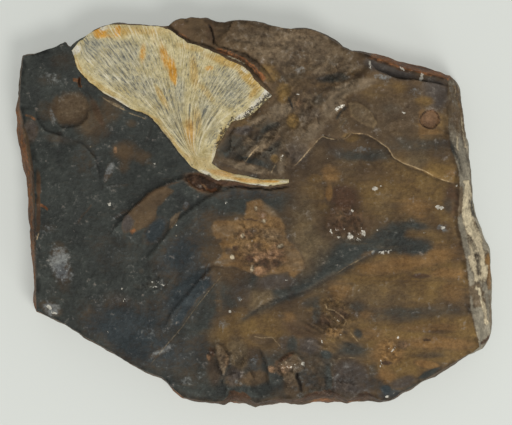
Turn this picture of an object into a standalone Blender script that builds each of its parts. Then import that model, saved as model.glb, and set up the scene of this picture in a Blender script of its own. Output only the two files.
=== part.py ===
"""A fossil ginkgo leaf on a hand-sized slab of iron-stained mudstone.

Two solids: the stone, a broken slab with ledges, cracks and a shallow bed for the leaf, and the leaf,
one thin layer of blade and petiole that lies in that bed. The origin is on the flat underside.
+X runs along the slab's length, +Y towards the edge that the leaf reaches, and +Z up.
"""
import math

import bmesh
import bpy
import numpy as np
from mathutils import Vector, geometry

# Driving dimensions, in metres.
SLAB_LENGTH = 0.160
SLAB_THICKNESS = 0.018
LEAF_THICKNESS = 0.0013
LEAF_PROUD = 0.00035
GAP = 0.0003

# The outlines below are drawn on a tracing of the top face: u runs right and v runs down.
TRACE_LENGTH = 480.0
ORIGIN_U, ORIGIN_V = 254.4, 210.4
UNIT = SLAB_LENGTH / TRACE_LENGTH

MM = 0.001
TOP_SPACING = 3.8 * MM
RIM_SPACING = 3.8 * MM
STEP_WIDTH = 0.4 * MM
NODE_CREASE = 28.0

# Colour and roughness of each node's own material.
MUDSTONE = ((0.075, 0.062, 0.048), 0.8)
CALCITE = ((0.52, 0.45, 0.28), 0.7)

# Loose points between the lines: how far each is moved, and how near a line one may be, both as a
# share of the spacing.
JITTER = 0.32
CLEARANCE = 0.45

# The broken rim of the top face, clockwise from the left top corner: u, v, and how far the wall
# below flares out past the rim. All three are in units of the tracing.
RIM = [
    (24, 56, 2), (35, 54.5, 2), (43, 50.6, 1), (54, 47.3, 1), (65.3, 42.1, 1), (67.5, 46, 1),
    (70.5, 47.7, 1), (75, 43, 1), (81, 38.4, 0.4), (86.5, 35, 0.4), (94.7, 29.4, 0.4),
    (103.7, 25.8, 0.4), (112.7, 23.7, 0.4), (126, 24.2, 0.4), (140.4, 24.5, 0.4), (152, 25.3, 0.4),
    (162, 26.1, 0.4), (168.2, 26.1, 0.4), (170.6, 24.3, 1), (175.5, 20.9, 1), (182.9, 18.8, 1),
    (190.2, 17.6, 1), (205.7, 18.4, 1), (210.6, 20.4, 1), (217, 22, 1), (224.5, 22.5, 1),
    (231.8, 21.2, 1), (240.8, 20.9, 1), (256, 22, 1), (272, 26.1, 1), (288.7, 29, 1),
    (306.6, 29.1, 1), (314.8, 31, 1), (324.6, 35.6, 1), (334.4, 41.6, 1), (344.2, 48.2, 1),
    (352.3, 51.9, 2), (360.5, 52.3, 2), (368, 54.5, 4), (380.5, 59.6, 7), (395, 65, 7.5),
    (408, 68.5, 7), (417, 70.5, 6.5), (425, 73, 7), (436, 76, 7), (446.6, 79, 6.5), (447.5, 86, 13),
    (447.3, 100, 17), (447, 114, 19), (447.3, 128, 20.5), (447.8, 139, 22), (452, 155, 19.5),
    (456, 165, 17.5), (458, 172, 16.5), (458.8, 183, 16.5), (458.6, 196, 17.5), (457.2, 209, 20),
    (456.6, 222, 22), (459.5, 238, 27), (463.8, 259, 29.5), (466, 272, 27.5), (467, 282, 26.5),
    (468, 296, 27.5), (469.5, 308, 26.5), (472, 322, 24), (475.5, 334, 21), (478, 341, 13),
    (479.5, 347, 5), (473, 352.3, 3), (463, 356.7, 3), (452, 364, 3), (439, 371.4, 3),
    (429, 377, 3), (419, 382.8, 3), (411, 388.3, 3), (401, 392.6, 3), (396, 396.5, 3),
    (390, 400.2, 4), (380, 400, 4.5), (375, 397.5, 6.5), (369.6, 395, 9), (359.4, 395.6, 9),
    (348, 399.2, 5.5), (343, 397.5, 6.5), (336.7, 393.4, 11), (325.4, 392.2, 13),
    (317.4, 393.4, 12), (302.7, 397.8, 8), (290, 399.5, 6), (280, 398.5, 7.5), (268, 400.5, 6.5),
    (256.6, 403, 4.5), (251, 400, 7), (244, 394.5, 12.5), (236.2, 392.2, 14.5), (229.4, 393.6, 13),
    (223, 401, 4), (210, 401.8, 3), (196, 399.6, 3), (183.5, 397.5, 2), (175, 390, 2),
    (168.2, 382.8, 2), (162.4, 376.8, 2), (146.9, 372.2, 2), (137, 366.5, 2), (125.7, 360.8, 2),
    (114.3, 353.4, 2), (104.5, 347.7, 2), (94.7, 342, 2), (84.9, 336.3, 2), (71.8, 328.1, 2),
    (57.1, 319.9, 2), (47.3, 315.9, 2), (36.8, 310.6, 3), (36.8, 303, 4.5), (36.6, 290, 5),
    (36.5, 275, 6), (36.3, 258, 7), (36, 240, 8.5), (35.8, 222, 9), (35.4, 205, 10),
    (35, 190, 10.5), (34, 172, 12), (32.5, 158, 14), (30.4, 143, 15), (27.9, 133, 14),
    (25.3, 127, 11.5), (22.8, 117.4, 8.5), (20.7, 108, 6.5), (20.3, 98, 4), (20.8, 86, 3),
    (21.6, 70, 2), (22.5, 62, 2),
]

# The leaf's two margins, each from the tip of the petiole to the outer end of the fan. The count of
# points before the fan's own base says where the petiole ends.
LEFT_MARGIN = [
    (288.9, 183.2), (279.7, 184.4), (267.7, 186.2), (250, 184.2), (238, 182), (228, 180.3),
    (218, 180.2), (206, 175), (198.5, 171),
    (191.5, 167), (182, 155.8), (170, 140.7), (157, 123.9), (149.5, 116.3), (141, 112),
    (130.6, 109), (117.6, 100.4), (104.5, 93), (91.4, 83.3), (83.3, 75.9), (76.7, 66.9),
    (74.3, 57.1), (71.8, 50.6),
]
LEFT_PETIOLE_POINTS = 9
RIGHT_MARGIN = [
    (288.9, 179.3), (274.3, 179), (264.5, 179.5), (255.8, 178), (247, 176), (234, 173.6),
    (223.3, 170.6), (216.8, 167), (211.5, 163),
    (214.6, 156), (216.8, 147.7), (223.3, 135.8), (229.8, 125), (234, 121), (245, 118.4),
    (253.6, 113), (265.4, 102), (272, 95.4),
]
RIGHT_PETIOLE_POINTS = 9
OUTER_MARGIN = [
    (71.8, 50.6), (77.6, 43.3), (86.5, 35.8), (94.7, 30.2), (103.7, 26.6), (112.7, 24.5),
    (140.4, 25.3), (161.6, 26.9), (169.8, 30), (178, 35.6), (187.8, 42.8), (199.2, 45.9),
    (210.6, 50.6), (217.1, 53.5), (228.6, 60.2), (241.6, 65.3), (249.8, 71.8), (254, 79),
    (260.4, 85.5), (266.2, 90.4), (272, 95.4),
]
PETIOLE_ROWS = 9
BLADE_ROWS = 13
RIBS = 26
RIB_HEIGHT = 0.22 * MM
RIB_SHARE_AT_BASE = 0.4
MARGIN_BEAD = 0.12 * MM
OUTER_MARGIN_DROP = 0.15 * MM
PETIOLE_ARCH = 0.75 * MM
PETIOLE_SINK = 0.26 * MM

# Broken edges of beds: the bed stands proud on the left of the line, as it is walked, by the rise,
# and sinks back over the reach. The two tapers are the lengths over which each end dies out.
LEDGES = {
    "bed_over_leaf": dict(
        line=[(160, 14), (167, 22.5), (173.5, 29), (181, 34.5), (190, 40.6), (200, 43), (212, 47.4),
              (218.5, 50), (230.5, 55), (242, 60), (250.5, 66.5), (258, 75), (264, 82), (271, 89),
              (281, 99)],
        rise=1.2 * MM, reach=30 * MM, tapers=(0.1 * MM, 14 * MM)),
    "upper_layer": dict(
        line=[(214, 41), (219, 46), (232, 49.5), (245, 54), (256, 60.5), (264.5, 69), (271, 77),
              (280, 88)],
        rise=1.0 * MM, reach=24 * MM, tapers=(2 * MM, 12 * MM)),
    "left_plate": dict(
        line=[(205, 176), (192.6, 174.7), (178, 180), (165.4, 183.8), (149.5, 192.9), (137, 204.2),
              (128.5, 212), (123, 219), (115.4, 227.6), (108.6, 238)],
        rise=0.7 * MM, reach=11 * MM, tapers=(4 * MM, 5 * MM)),
    "middle_plate": dict(
        line=[(232, 190.5), (219, 192), (208.4, 197.4), (199.4, 204.2), (188, 212), (176.7, 221),
              (169.9, 229), (163, 239.4), (151.7, 253), (142, 264)],
        rise=0.5 * MM, reach=9 * MM, tapers=(3 * MM, 5 * MM)),
    "lower_plate": dict(
        line=[(216, 266), (208.4, 272), (199.4, 280), (190, 291.5), (178, 305), (170.4, 315),
              (164.7, 330)],
        rise=0.55 * MM, reach=7 * MM, tapers=(3 * MM, 5 * MM)),
    "dish_rim": dict(
        line=[(89, 106), (87.3, 118.3), (80, 125.4), (71.9, 128), (62, 127.4), (54, 122)],
        rise=0.5 * MM, reach=8 * MM, tapers=(4 * MM, 4 * MM)),
    "outer_arc": dict(
        line=[(66, 137), (60.3, 135.7), (52, 133.5), (44.8, 129.9), (37.4, 121), (34.2, 112.5),
              (33.6, 107)],
        rise=0.5 * MM, reach=7 * MM, tapers=(3 * MM, 2 * MM)),
    "faint_arc": dict(
        line=[(99, 182), (99, 174), (95, 157), (83.5, 145), (70, 139.5)],
        rise=0.35 * MM, reach=8 * MM, tapers=(4 * MM, 4 * MM)),
    "veined_bed": dict(
        line=[(288, 169), (297, 165), (313.3, 146.7), (323.3, 135.8), (336.7, 139), (343.3, 139),
              (348.3, 134), (365, 135), (376.7, 140.8), (386.7, 148.3), (393.3, 157.5),
              (408.3, 166.7), (420, 170), (433.3, 176.7), (448, 181.7), (455, 183.2)],
        rise=0.45 * MM, reach=12 * MM, tapers=(12 * MM, 1 * MM)),
    "slanting_bed": dict(
        line=[(234, 322), (244, 317), (272, 300), (306.5, 291), (336, 272.4), (357.7, 261),
              (374.7, 252), (392, 244)],
        rise=0.3 * MM, reach=9 * MM, tapers=(7 * MM, 7 * MM)),
    "top_right_step": dict(
        line=[(456, 88), (440, 84), (425, 81), (418, 80.5), (410, 79.5), (398, 78), (386, 74.5),
              (377, 70), (368, 62)],
        rise=1.2 * MM, reach=16 * MM, tapers=(12 * MM, 4 * MM)),
    "foot_ledge": dict(
        line=[(258, 346), (262, 354), (266.8, 366), (268, 376), (269, 388)],
        rise=0.5 * MM, reach=8 * MM, tapers=(3 * MM, 2 * MM)),
}

# Cracks and rounded grooves: a line, how wide and how deep.
GROOVES = {
    "block_joint": dict(
        line=[(208.5, 23.5), (212, 31), (214, 39), (213.2, 46)],
        width=0.8 * MM, depth=0.5 * MM),
    "petiole_side": dict(
        line=[(222, 188.5), (238, 186.5), (254, 188.5), (270, 189.3), (282, 187.3), (292, 185.6)],
        width=0.9 * MM, depth=0.5 * MM),
    "rusty_crack": dict(
        line=[(79.6, 76), (78.7, 82), (80.4, 88)],
        width=0.9 * MM, depth=0.6 * MM),
    "bottom_crack": dict(
        line=[(297, 371), (297.5, 378), (301, 386), (301.5, 393)],
        width=1.1 * MM, depth=0.3 * MM),
}


def circle(u, v, radius, count):
    """A ring of points round a centre."""
    angles = [math.tau * k / count for k in range(count)]
    return [(u + radius * math.cos(angle), v + radius * math.sin(angle)) for angle in angles]


# Patches with a floor of their own: an outline, how far it rises, negative where it sinks, and how
# wide the slope round it is.
PATCHES = {
    "broken_pocket": dict(
        outline=[(184, 178.5), (189, 174.6), (198, 174.5), (207, 178.5), (216, 183.3),
                 (222, 186.5), (219, 190.5), (214, 193), (205, 190), (195, 187.5), (188, 182.5)],
        rise=-1.1 * MM, slope=0.6 * MM),
    "round_mould": dict(outline=circle(429.6, 119.5, 9, 14), rise=-0.8 * MM, slope=0.4 * MM),
    "olive_flake": dict(
        outline=[(348.3, 103.3), (356.7, 101.7), (365, 106.7), (373.3, 115), (377.5, 123.3),
                 (373.3, 128.3), (366.7, 126.7), (356.7, 120.8), (350, 115.5)],
        rise=0.22 * MM, slope=0.4 * MM),
    "arched_lump": dict(
        outline=[(279.3, 366), (282.7, 358.2), (289.5, 353.4), (296.3, 354.3), (303, 362),
                 (303.4, 369), (296, 374), (298, 386), (288, 388), (283, 376)],
        rise=0.5 * MM, slope=0.9 * MM),
    "narrow_lump": dict(
        outline=[(215.5, 343.5), (222, 346.5), (228.2, 357), (227, 367), (223.7, 375.2),
                 (219.5, 367), (216.9, 359.4)],
        rise=0.45 * MM, slope=0.8 * MM),
    "dark_scab": dict(
        outline=[(327, 212), (336, 206), (352, 208), (365, 214), (371, 226), (364, 237),
                 (350, 240), (334, 238), (325, 226)],
        rise=0.15 * MM, slope=1.2 * MM),
}

# Waves of the bedding plane: height, length and the seed of their noise.
BED_WAVES = [(0.22 * MM, 24 * MM, 3), (0.1 * MM, 9 * MM, 5)]

# Broad swells and dips of the bedding plane: u, v, radius, height.
SWELLS = [
    (70, 172, 34, 0.9 * MM), (68, 104, 20, -0.5 * MM), (110, 300, 60, -0.5 * MM),
    (135, 160, 30, -0.5 * MM), (256, 238, 34, 0.7 * MM), (345, 222, 22, 0.3 * MM),
    (221, 358, 13, 0.5 * MM), (262, 388, 14, -0.6 * MM), (300, 45, 40, 0.4 * MM),
    (338, 72, 16, -0.8 * MM), (318, 122, 20, 0.4 * MM), (258, 140, 14, 0.7 * MM),
    (282, 125, 12, -0.6 * MM), (400, 320, 60, 0.4 * MM), (330, 340, 18, 0.6 * MM),
    (350, 378, 22, -0.4 * MM), (170, 345, 30, 0.4 * MM), (300, 205, 16, -0.3 * MM),
]

# Crumbly patches: u, v, radius and how rough. The crumbs are all of one size.
CRUMB_SIZE = 3.1 * MM
CRUMBLY = [
    (258, 246, 34, 0.3 * MM), (346, 226, 22, 0.34 * MM), (288, 368, 18, 0.45 * MM),
    (262, 142, 26, 0.4 * MM), (334, 318, 22, 0.4 * MM), (300, 112, 22, 0.3 * MM),
    (221, 358, 14, 0.3 * MM), (330, 384, 30, 0.2 * MM),
]

# The wall below the rim, bed by bed: share of the flare, share of the way down, and how far that
# level is worn back.
WALL = [
    (0.22, 0.06, 0.0), (0.52, 0.24, -0.2 * MM), (0.60, 0.29, 0.6 * MM), (0.88, 0.50, 0.0),
    (0.94, 0.55, 0.7 * MM), (1.0, 0.80, 0.1 * MM), (0.96, 0.92, 0.3 * MM), (0.92, 1.0, 1.9 * MM),
]
WALL_ROUGHNESS = 0.45 * MM
WALL_LUMP = 5 * MM

# Flake scars on the underside, which run out at the slab's foot, round the flat middle that it
# rests on.
SCARS = [
    [(-20, 176), (30, 184), (62, 168), (76, 136), (112, 112), (128, 84), (176, 66), (190, 40),
     (196, -20), (-20, -20)],
    [(540, 176), (470, 184), (430, 206), (424, 240), (398, 262), (392, 300), (360, 322),
     (352, 360), (336, 378), (330, 440), (540, 440)],
    [(40, 440), (84, 320), (120, 300), (146, 322), (190, 330), (214, 362), (246, 372), (256, 440)],
    [(318, -20), (330, 40), (352, 72), (392, 84), (420, 110), (470, 120), (540, 96), (540, -20)],
]
SCAR_SLOPE = 1.6 * MM
SCAR_DEPTH = (0.4 * MM, 1.6 * MM)
SCAR_LUMP = 13 * MM
UNDER_SPACING = 9 * MM


def place(points):
    """Tracing coordinates as metres on the slab."""
    points = np.asarray(points, float)
    return np.stack([(points[..., 0] - ORIGIN_U) * UNIT, (ORIGIN_V - points[..., 1]) * UNIT], -1)


def anticlockwise(loop):
    """The closed loop, walked so that its inside is on the left."""
    after = np.roll(loop, -1, axis=0)
    area = (loop[:, 0] * after[:, 1] - loop[:, 1] * after[:, 0]).sum()
    return loop if area > 0 else loop[::-1]


def along(line, count):
    """Evenly spaced points on a polyline, both ends included."""
    line = np.asarray(line, float)
    run = np.r_[0, np.cumsum(np.hypot(*np.diff(line, axis=0).T))]
    at = np.linspace(0, run[-1], count)
    return np.stack([np.interp(at, run, line[:, k]) for k in (0, 1)], -1)


def subdivided(loop, spacing, closed=True):
    """The polyline with points added so that no step is longer than the spacing."""
    made = []
    ends = np.roll(loop, -1, axis=0) if closed else loop[1:]
    for start, end in zip(loop, ends):
        steps = max(1, math.ceil(np.linalg.norm(end - start) / spacing))
        made += [start + (end - start) * k / steps for k in range(steps)]
    if not closed:
        made.append(loop[-1])
    return np.array(made)


def corner_normals(line, closed):
    """The unit normal at each point of a line, to the left as it is walked."""
    if closed:
        run = np.roll(line, -1, axis=0) - line
        run /= np.linalg.norm(run, axis=1, keepdims=True)
        run = run + np.roll(run, 1, axis=0)
    else:
        steps = np.diff(line, axis=0)
        steps /= np.linalg.norm(steps, axis=1, keepdims=True)
        run = np.vstack([steps[:1], steps[:-1] + steps[1:], steps[-1:]])
    run /= np.linalg.norm(run, axis=1, keepdims=True)
    return np.stack([-run[:, 1], run[:, 0]], -1)


def nearest(points, line, closed=False):
    """For each point: signed distance to the line, left of it positive, and where on it, as a
    corner number with a fraction."""
    normals = corner_normals(line, closed)
    start = line if closed else line[:-1]
    end = np.roll(line, -1, axis=0) if closed else line[1:]
    after = np.roll(normals, -1, axis=0) if closed else normals[1:]
    span = end - start
    offset = points[:, None, :] - start[None]
    share = np.clip((offset * span).sum(-1) / (span**2).sum(-1), 0, 1)
    gap = offset - share[..., None] * span
    which = np.argmin((gap**2).sum(-1), axis=1)
    row = np.arange(len(points))
    part = share[row, which]
    gap = gap[row, which]
    normal = normals[which] * (1 - part)[:, None] + after[which] * part[:, None]
    side = np.where((gap * normal).sum(-1) >= 0, 1.0, -1.0)
    return side * np.linalg.norm(gap, axis=1), which + part


def smooth(value):
    """0 to 1 along an S curve."""
    value = np.clip(value, 0, 1)
    return value * value * (3 - 2 * value)


def value_noise(x, y, cell, seed):
    """Smooth noise from -1 to 1: random heights on a square lattice, blended along S curves."""
    i, j = np.floor(x / cell), np.floor(y / cell)
    a, b = smooth(x / cell - i), smooth(y / cell - j)

    def height(i, j):
        wave = np.sin(i * 127.1 + j * 311.7 + seed * 74.7) * 43758.5453
        return (wave - np.floor(wave)) * 2 - 1

    low = height(i, j) * (1 - a) + height(i + 1, j) * a
    high = height(i, j + 1) * (1 - a) + height(i + 1, j + 1) * a
    return low * (1 - b) + high * b


def coons(rows_left, rows_right, low_end, high_end):
    """A grid between four edges: each row runs from the left edge to the right one."""
    rows, columns = len(rows_left), len(low_end)
    t = np.linspace(0, 1, rows)[:, None, None]
    s = np.linspace(0, 1, columns)[None, :, None]
    across = rows_left[:, None] * (1 - s) + rows_right[:, None] * s
    up = low_end[None] * (1 - t) + high_end[None] * t
    corners = (rows_left[0] * (1 - s) + rows_right[0] * s) * (1 - t)
    corners = corners + (rows_left[-1] * (1 - s) + rows_right[-1] * s) * t
    return across + up - corners


def leaf_grid():
    """Rows of points from the petiole's tip to the fan's outer margin, ribs and furrows in turn."""
    columns = 2 * RIBS + 1
    left, right = place(LEFT_MARGIN), place(RIGHT_MARGIN)
    cut_left, cut_right = LEFT_PETIOLE_POINTS, RIGHT_PETIOLE_POINTS
    stalk_left = along(left[: cut_left + 1], PETIOLE_ROWS + 1)
    stalk_right = along(right[: cut_right + 1], PETIOLE_ROWS + 1)
    across = np.linspace(0, 1, columns)[None, :, None]
    stalk = stalk_left[:, None] * (1 - across) + stalk_right[:, None] * across
    blade = coons(
        along(left[cut_left:], BLADE_ROWS + 1), along(right[cut_right:], BLADE_ROWS + 1),
        along(stalk[-1], columns), along(place(OUTER_MARGIN), columns))
    return np.concatenate([stalk[:-1], blade])


def loop_of(grid):
    """The grid's boundary, anticlockwise from above."""
    return np.concatenate([grid[0, :-1], grid[:-1, -1], grid[-1, :0:-1], grid[:0:-1, 0]])


def bedding(points):
    """Height of the bedding plane over the slab's thickness, before any ledge or hollow."""
    x, y = points.T
    height = sum(rise * value_noise(x, y, length, seed) for rise, length, seed in BED_WAVES)
    for u, v, radius, rise in SWELLS:
        away = np.linalg.norm(points - place((u, v)), axis=1) / (radius * UNIT)
        height += rise * np.exp(-away**2)
    return height


def ledge_height(points, ledge):
    """What one broken bed adds to the surface."""
    line = place(ledge["line"])
    away, where = nearest(points, line)
    run = np.r_[0, np.cumsum(np.linalg.norm(np.diff(line, axis=0), axis=1))]
    walked = np.interp(where, np.arange(len(run)), run)
    first, last = ledge["tapers"]
    ends = smooth(walked / first) * smooth((run[-1] - walked) / last)
    return np.where(away > 0, ledge["rise"] * ends * np.exp(-(away / ledge["reach"])**2), 0.0)


def surface(points, leaf_loop):
    """Height of the top face at each point, the leaf's bed included."""
    height = bedding(points)
    for ledge in LEDGES.values():
        height += ledge_height(points, ledge)
    for groove in GROOVES.values():
        away, where = nearest(points, place(groove["line"]))
        ends = smooth(where) * smooth(len(groove["line"]) - 1 - where)
        height -= groove["depth"] * ends * np.clip(1 - np.abs(away) / (groove["width"] / 2), 0, 1)
    for patch in PATCHES.values():
        away, _ = nearest(points, anticlockwise(place(patch["outline"])), closed=True)
        height += patch["rise"] * smooth(away / patch["slope"] + 0.5)
    x, y = points.T
    for u, v, radius, rough in CRUMBLY:
        away = np.linalg.norm(points - place((u, v)), axis=1) / (radius * UNIT)
        height += rough * value_noise(x, y, CRUMB_SIZE, 11) * (away < 1)
    outside = -nearest(points, leaf_loop, closed=True)[0]
    return np.where(outside > GAP + STEP_WIDTH / 2, height, LEAF_PROUD - LEAF_THICKNESS - GAP)


def offset(line, distance, closed=False):
    return line + corner_normals(line, closed) * distance


def break_lines(leaf_loop):
    """Lines on the top face that its triangles must follow: both edges of each step, and the
    bottom and sides of each groove."""
    lines = []
    for ledge in LEDGES.values():
        line = subdivided(place(ledge["line"]), TOP_SPACING, closed=False)
        lines += [(offset(line, side * STEP_WIDTH / 2), False) for side in (-1, 1)]
    for groove in GROOVES.values():
        line = subdivided(place(groove["line"]), TOP_SPACING, closed=False)
        lines += [(offset(line, side * groove["width"] / 2), False) for side in (-1, 0, 1)]
    for patch in PATCHES.values():
        line = anticlockwise(place(patch["outline"]))
        lines += [(offset(line, side * patch["slope"] / 2, True), True) for side in (-1, 1)]
    lines += [(offset(leaf_loop, -reach, True), True) for reach in (GAP, GAP + STEP_WIDTH)]
    return lines


def inside(points, loop):
    """Which points lie inside a closed loop, by counting the edges to their right."""
    x, y = points.T[:, :, None]
    x0, y0 = loop.T[:, None, :]
    x1, y1 = np.roll(loop, -1, axis=0).T[:, None, :]
    crosses = (y0 > y) != (y1 > y)
    rise = np.where(y1 == y0, 1, y1 - y0)
    return (crosses & (x < (x1 - x0) * (y - y0) / rise + x0)).sum(1) % 2 == 1


def runs_inside(line, loop, clearance):
    """The stretches of a closed line that lie inside a loop and clear of it."""
    keep = inside(line, loop) & (np.abs(nearest(line, loop, closed=True)[0]) > clearance)
    first = int(np.argmin(keep))
    line, keep = np.roll(line, -first, axis=0), np.roll(keep, -first)
    cuts = np.flatnonzero(np.diff(keep.astype(int))) + 1
    runs = zip(np.split(line, cuts), np.split(keep, cuts))
    return [run for run, kept in runs if kept[0] and len(run) > 1]


def scatter(loop, spacing, keep_off, seed):
    """A jittered grid of points inside the loop, clear of the lines named in keep_off."""
    low, high = loop.min(0), loop.max(0)
    axes = [np.arange(low[k], high[k], spacing) for k in (0, 1)]
    grid = np.stack(np.meshgrid(*axes), -1).reshape(-1, 2)
    grid += np.random.default_rng(seed).uniform(-JITTER, JITTER, grid.shape) * spacing
    grid = grid[inside(grid, loop)]
    clear = np.full(len(grid), True)
    for line, closed in [(loop, True)] + keep_off:
        clear &= np.abs(nearest(grid, line, closed)[0]) > CLEARANCE * spacing
    return grid[clear]


def triangulated(loop, lines, loose):
    """Triangles that fill the loop and follow the lines: their corners and their corner numbers."""
    points, edges = [Vector(p) for p in loop], []
    for line, closed in lines:
        first = len(points)
        points += [Vector(p) for p in line]
        count = len(line)
        edges += [(first + k, first + (k + 1) % count) for k in range(count if closed else count - 1)]
    points += [Vector(p) for p in loose]
    rim = list(range(len(loop)))
    made, _, faces, *_ = geometry.delaunay_2d_cdt(points, edges, [rim], 1, 1e-6)
    corners = np.array([tuple(p) for p in made])
    middles = np.array([corners[list(face)].mean(0) for face in faces])
    return corners, [face for face, keep in zip(faces, inside(middles, loop)) if keep]


def finish(mesh, name, colour, roughness):
    """A node from a finished bmesh, with its own material."""
    bmesh.ops.recalc_face_normals(mesh, faces=mesh.faces)
    data = bpy.data.meshes.new(name)
    mesh.to_mesh(data)
    mesh.free()
    node = bpy.data.objects.new(name, data)
    bpy.context.scene.collection.objects.link(node)
    data.shade_smooth()
    data.set_sharp_from_angle(angle=math.radians(NODE_CREASE))
    material = bpy.data.materials.new(name)
    material.use_nodes = True
    shader = material.node_tree.nodes["Principled BSDF"]
    shader.inputs["Base Color"].default_value = (*colour, 1)
    shader.inputs["Roughness"].default_value = roughness
    data.materials.append(material)
    return node


def wall_offset(points, rim, flare, share, worn, seed):
    """Where the wall stands at one level: out along the rim's normal by a share of the flare."""
    away, where = nearest(points, rim, closed=True)
    corner = np.floor(where).astype(int) % len(rim)
    after = (corner + 1) % len(rim)
    part = (where - np.floor(where))[:, None]
    normals = -corner_normals(rim, True)
    normal = normals[corner] * (1 - part) + normals[after] * part
    normal /= np.linalg.norm(normal, axis=1, keepdims=True)
    reach = flare[corner] * (1 - part[:, 0]) + flare[after] * part[:, 0]
    x, y = points.T
    rough = WALL_ROUGHNESS * value_noise(x, y, WALL_LUMP, seed) * min(1, share * 2)
    return points + normal * (reach * share + rough - worn)[:, None]


def add_top(mesh, rim, leaf_loop):
    """The triangulated top face of the stone, with its relief."""
    lines = break_lines(leaf_loop)
    loose = scatter(rim, TOP_SPACING, lines, seed=7)
    corners, faces = triangulated(rim, lines, loose)
    height = SLAB_THICKNESS + surface(corners, leaf_loop)
    top = [mesh.verts.new((x, y, z)) for (x, y), z in zip(corners, height)]
    for face in faces:
        mesh.faces.new([top[k] for k in face])
    remove_unused(mesh)


def add_wall(mesh, rim, flare):
    """Rings of wall below the top face, level by level. Returns the foot's vertices in order."""
    ring = [edge for edge in mesh.edges if edge.is_boundary]
    around = {vertex for edge in ring for vertex in edge.verts}
    start = {vertex: (Vector(vertex.co.xy), vertex.co.z) for vertex in around}
    for level, (share, down, worn) in enumerate(WALL):
        made = bmesh.ops.extrude_edge_only(mesh, edges=ring)["geom"]
        ring = [part for part in made if isinstance(part, bmesh.types.BMEdge)]
        below = {}
        for vertex in {vertex for edge in ring for vertex in edge.verts}:
            above = next(edge.other_vert(vertex) for edge in vertex.link_edges
                         if edge.other_vert(vertex) in start)
            below[vertex] = start[above]
        order = list(below)
        plan = np.array([tuple(below[vertex][0]) for vertex in order])
        plan = wall_offset(plan, rim, flare, share, worn, seed=20 + level // 2)
        for vertex, (x, y) in zip(order, plan):
            vertex.co = (x, y, below[vertex][1] * (1 - down))
        start = below
    return ordered(ring)


def add_underside(mesh, loop):
    """The underside, from the foot's ring of vertices inwards, with its flake scars."""
    foot = np.array([tuple(vertex.co.xy) for vertex in loop])
    if not np.array_equal(foot, anticlockwise(foot)):
        loop, foot = loop[::-1], foot[::-1]
    scars = [anticlockwise(place(outline)) for outline in SCARS]
    edges = []
    for line in scars:
        for side in (-1, 1):
            edge = subdivided(offset(line, side * SCAR_SLOPE / 2, True), UNDER_SPACING)
            edges += [(run, False) for run in runs_inside(edge, foot, RIM_SPACING / 2)]
    corners, faces = triangulated(foot, edges, scatter(foot, UNDER_SPACING, edges, seed=9))
    lift = underside(corners, scars)
    under = [mesh.verts.new((x, y, z)) for (x, y), z in zip(corners, lift)]
    for k, vertex in enumerate(loop):
        vertex.co.z = lift[k]
        under[k] = vertex
    for face in faces:
        mesh.faces.new([under[k] for k in face])
    remove_unused(mesh)


def remove_unused(mesh):
    """Vertices that no face uses are left out."""
    bmesh.ops.delete(mesh, geom=[v for v in mesh.verts if not v.link_faces], context="VERTS")


def make_stone(leaf_loop):
    """The slab: a triangulated top face, a wall of worn beds below its rim, and the underside."""
    table = np.array(RIM)
    rim = place(table[:, :2])[::-1]
    flare = table[::-1, 2] * UNIT
    mesh = bmesh.new()
    add_top(mesh, subdivided(rim, RIM_SPACING), leaf_loop)
    add_underside(mesh, add_wall(mesh, rim, flare))
    bmesh.ops.triangulate(mesh, faces=mesh.faces)
    return finish(mesh, "mudstone_slab", *MUDSTONE)


def underside(points, scars):
    """How far the underside lies above its flat face: in the scars, and nowhere else."""
    x, y = points.T
    rough = 0.5 + 0.5 * value_noise(x, y, SCAR_LUMP, 31)
    depth = np.zeros(len(points))
    for line in scars:
        depth = np.maximum(depth, nearest(points, line, closed=True)[0] > 0)
    return depth * (SCAR_DEPTH[0] + (SCAR_DEPTH[1] - SCAR_DEPTH[0]) * rough)


def ordered(edges):
    """The vertices of one closed ring of edges, in order."""
    edge = edges[0]
    loop = [edge.verts[0], edge.verts[1]]
    left = set(edges) - {edge}
    while left:
        edge = next(edge for edge in loop[-1].link_edges if edge in left)
        left.remove(edge)
        loop.append(edge.other_vert(loop[-1]))
    return loop[:-1]


def make_leaf(grid):
    """The leaf: ribs fan out over the blade, the petiole is arched, and the underside is flat."""
    rows, columns = grid.shape[:2]
    flat = grid.reshape(-1, 2)
    row, column = np.divmod(np.arange(len(flat)), columns)
    across = column / (columns - 1)
    blade = smooth((row - PETIOLE_ROWS) / 3)
    arch = np.sqrt(np.clip(1 - (2 * across - 1)**2, 0, 1))
    height = bedding(flat) + LEAF_PROUD
    height += (1 - blade) * (PETIOLE_ARCH * arch - PETIOLE_SINK)
    rib = RIB_SHARE_AT_BASE + (1 - RIB_SHARE_AT_BASE) * smooth(row / rows)
    height += blade * RIB_HEIGHT * (column % 2) * rib
    edge = np.minimum(column, columns - 1 - column)
    height += MARGIN_BEAD * (edge == 1)
    height[row == rows - 1] -= OUTER_MARGIN_DROP

    mesh = bmesh.new()
    top = [mesh.verts.new((x, y, SLAB_THICKNESS + z)) for (x, y), z in zip(flat, height)]
    for r in range(rows - 1):
        for c in range(columns - 1):
            k = r * columns + c
            mesh.faces.new([top[k], top[k + 1], top[k + 1 + columns], top[k + columns]])
    ring = [edge for edge in mesh.edges if edge.is_boundary]
    made = bmesh.ops.extrude_edge_only(mesh, edges=ring)["geom"]
    ring = [part for part in made if isinstance(part, bmesh.types.BMEdge)]
    for vertex in {vertex for edge in ring for vertex in edge.verts}:
        vertex.co.z = SLAB_THICKNESS + LEAF_PROUD - LEAF_THICKNESS
    mesh.faces.new(ordered(ring))
    bmesh.ops.triangulate(mesh, faces=mesh.faces)
    return finish(mesh, "ginkgo_leaf", *CALCITE)


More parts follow.
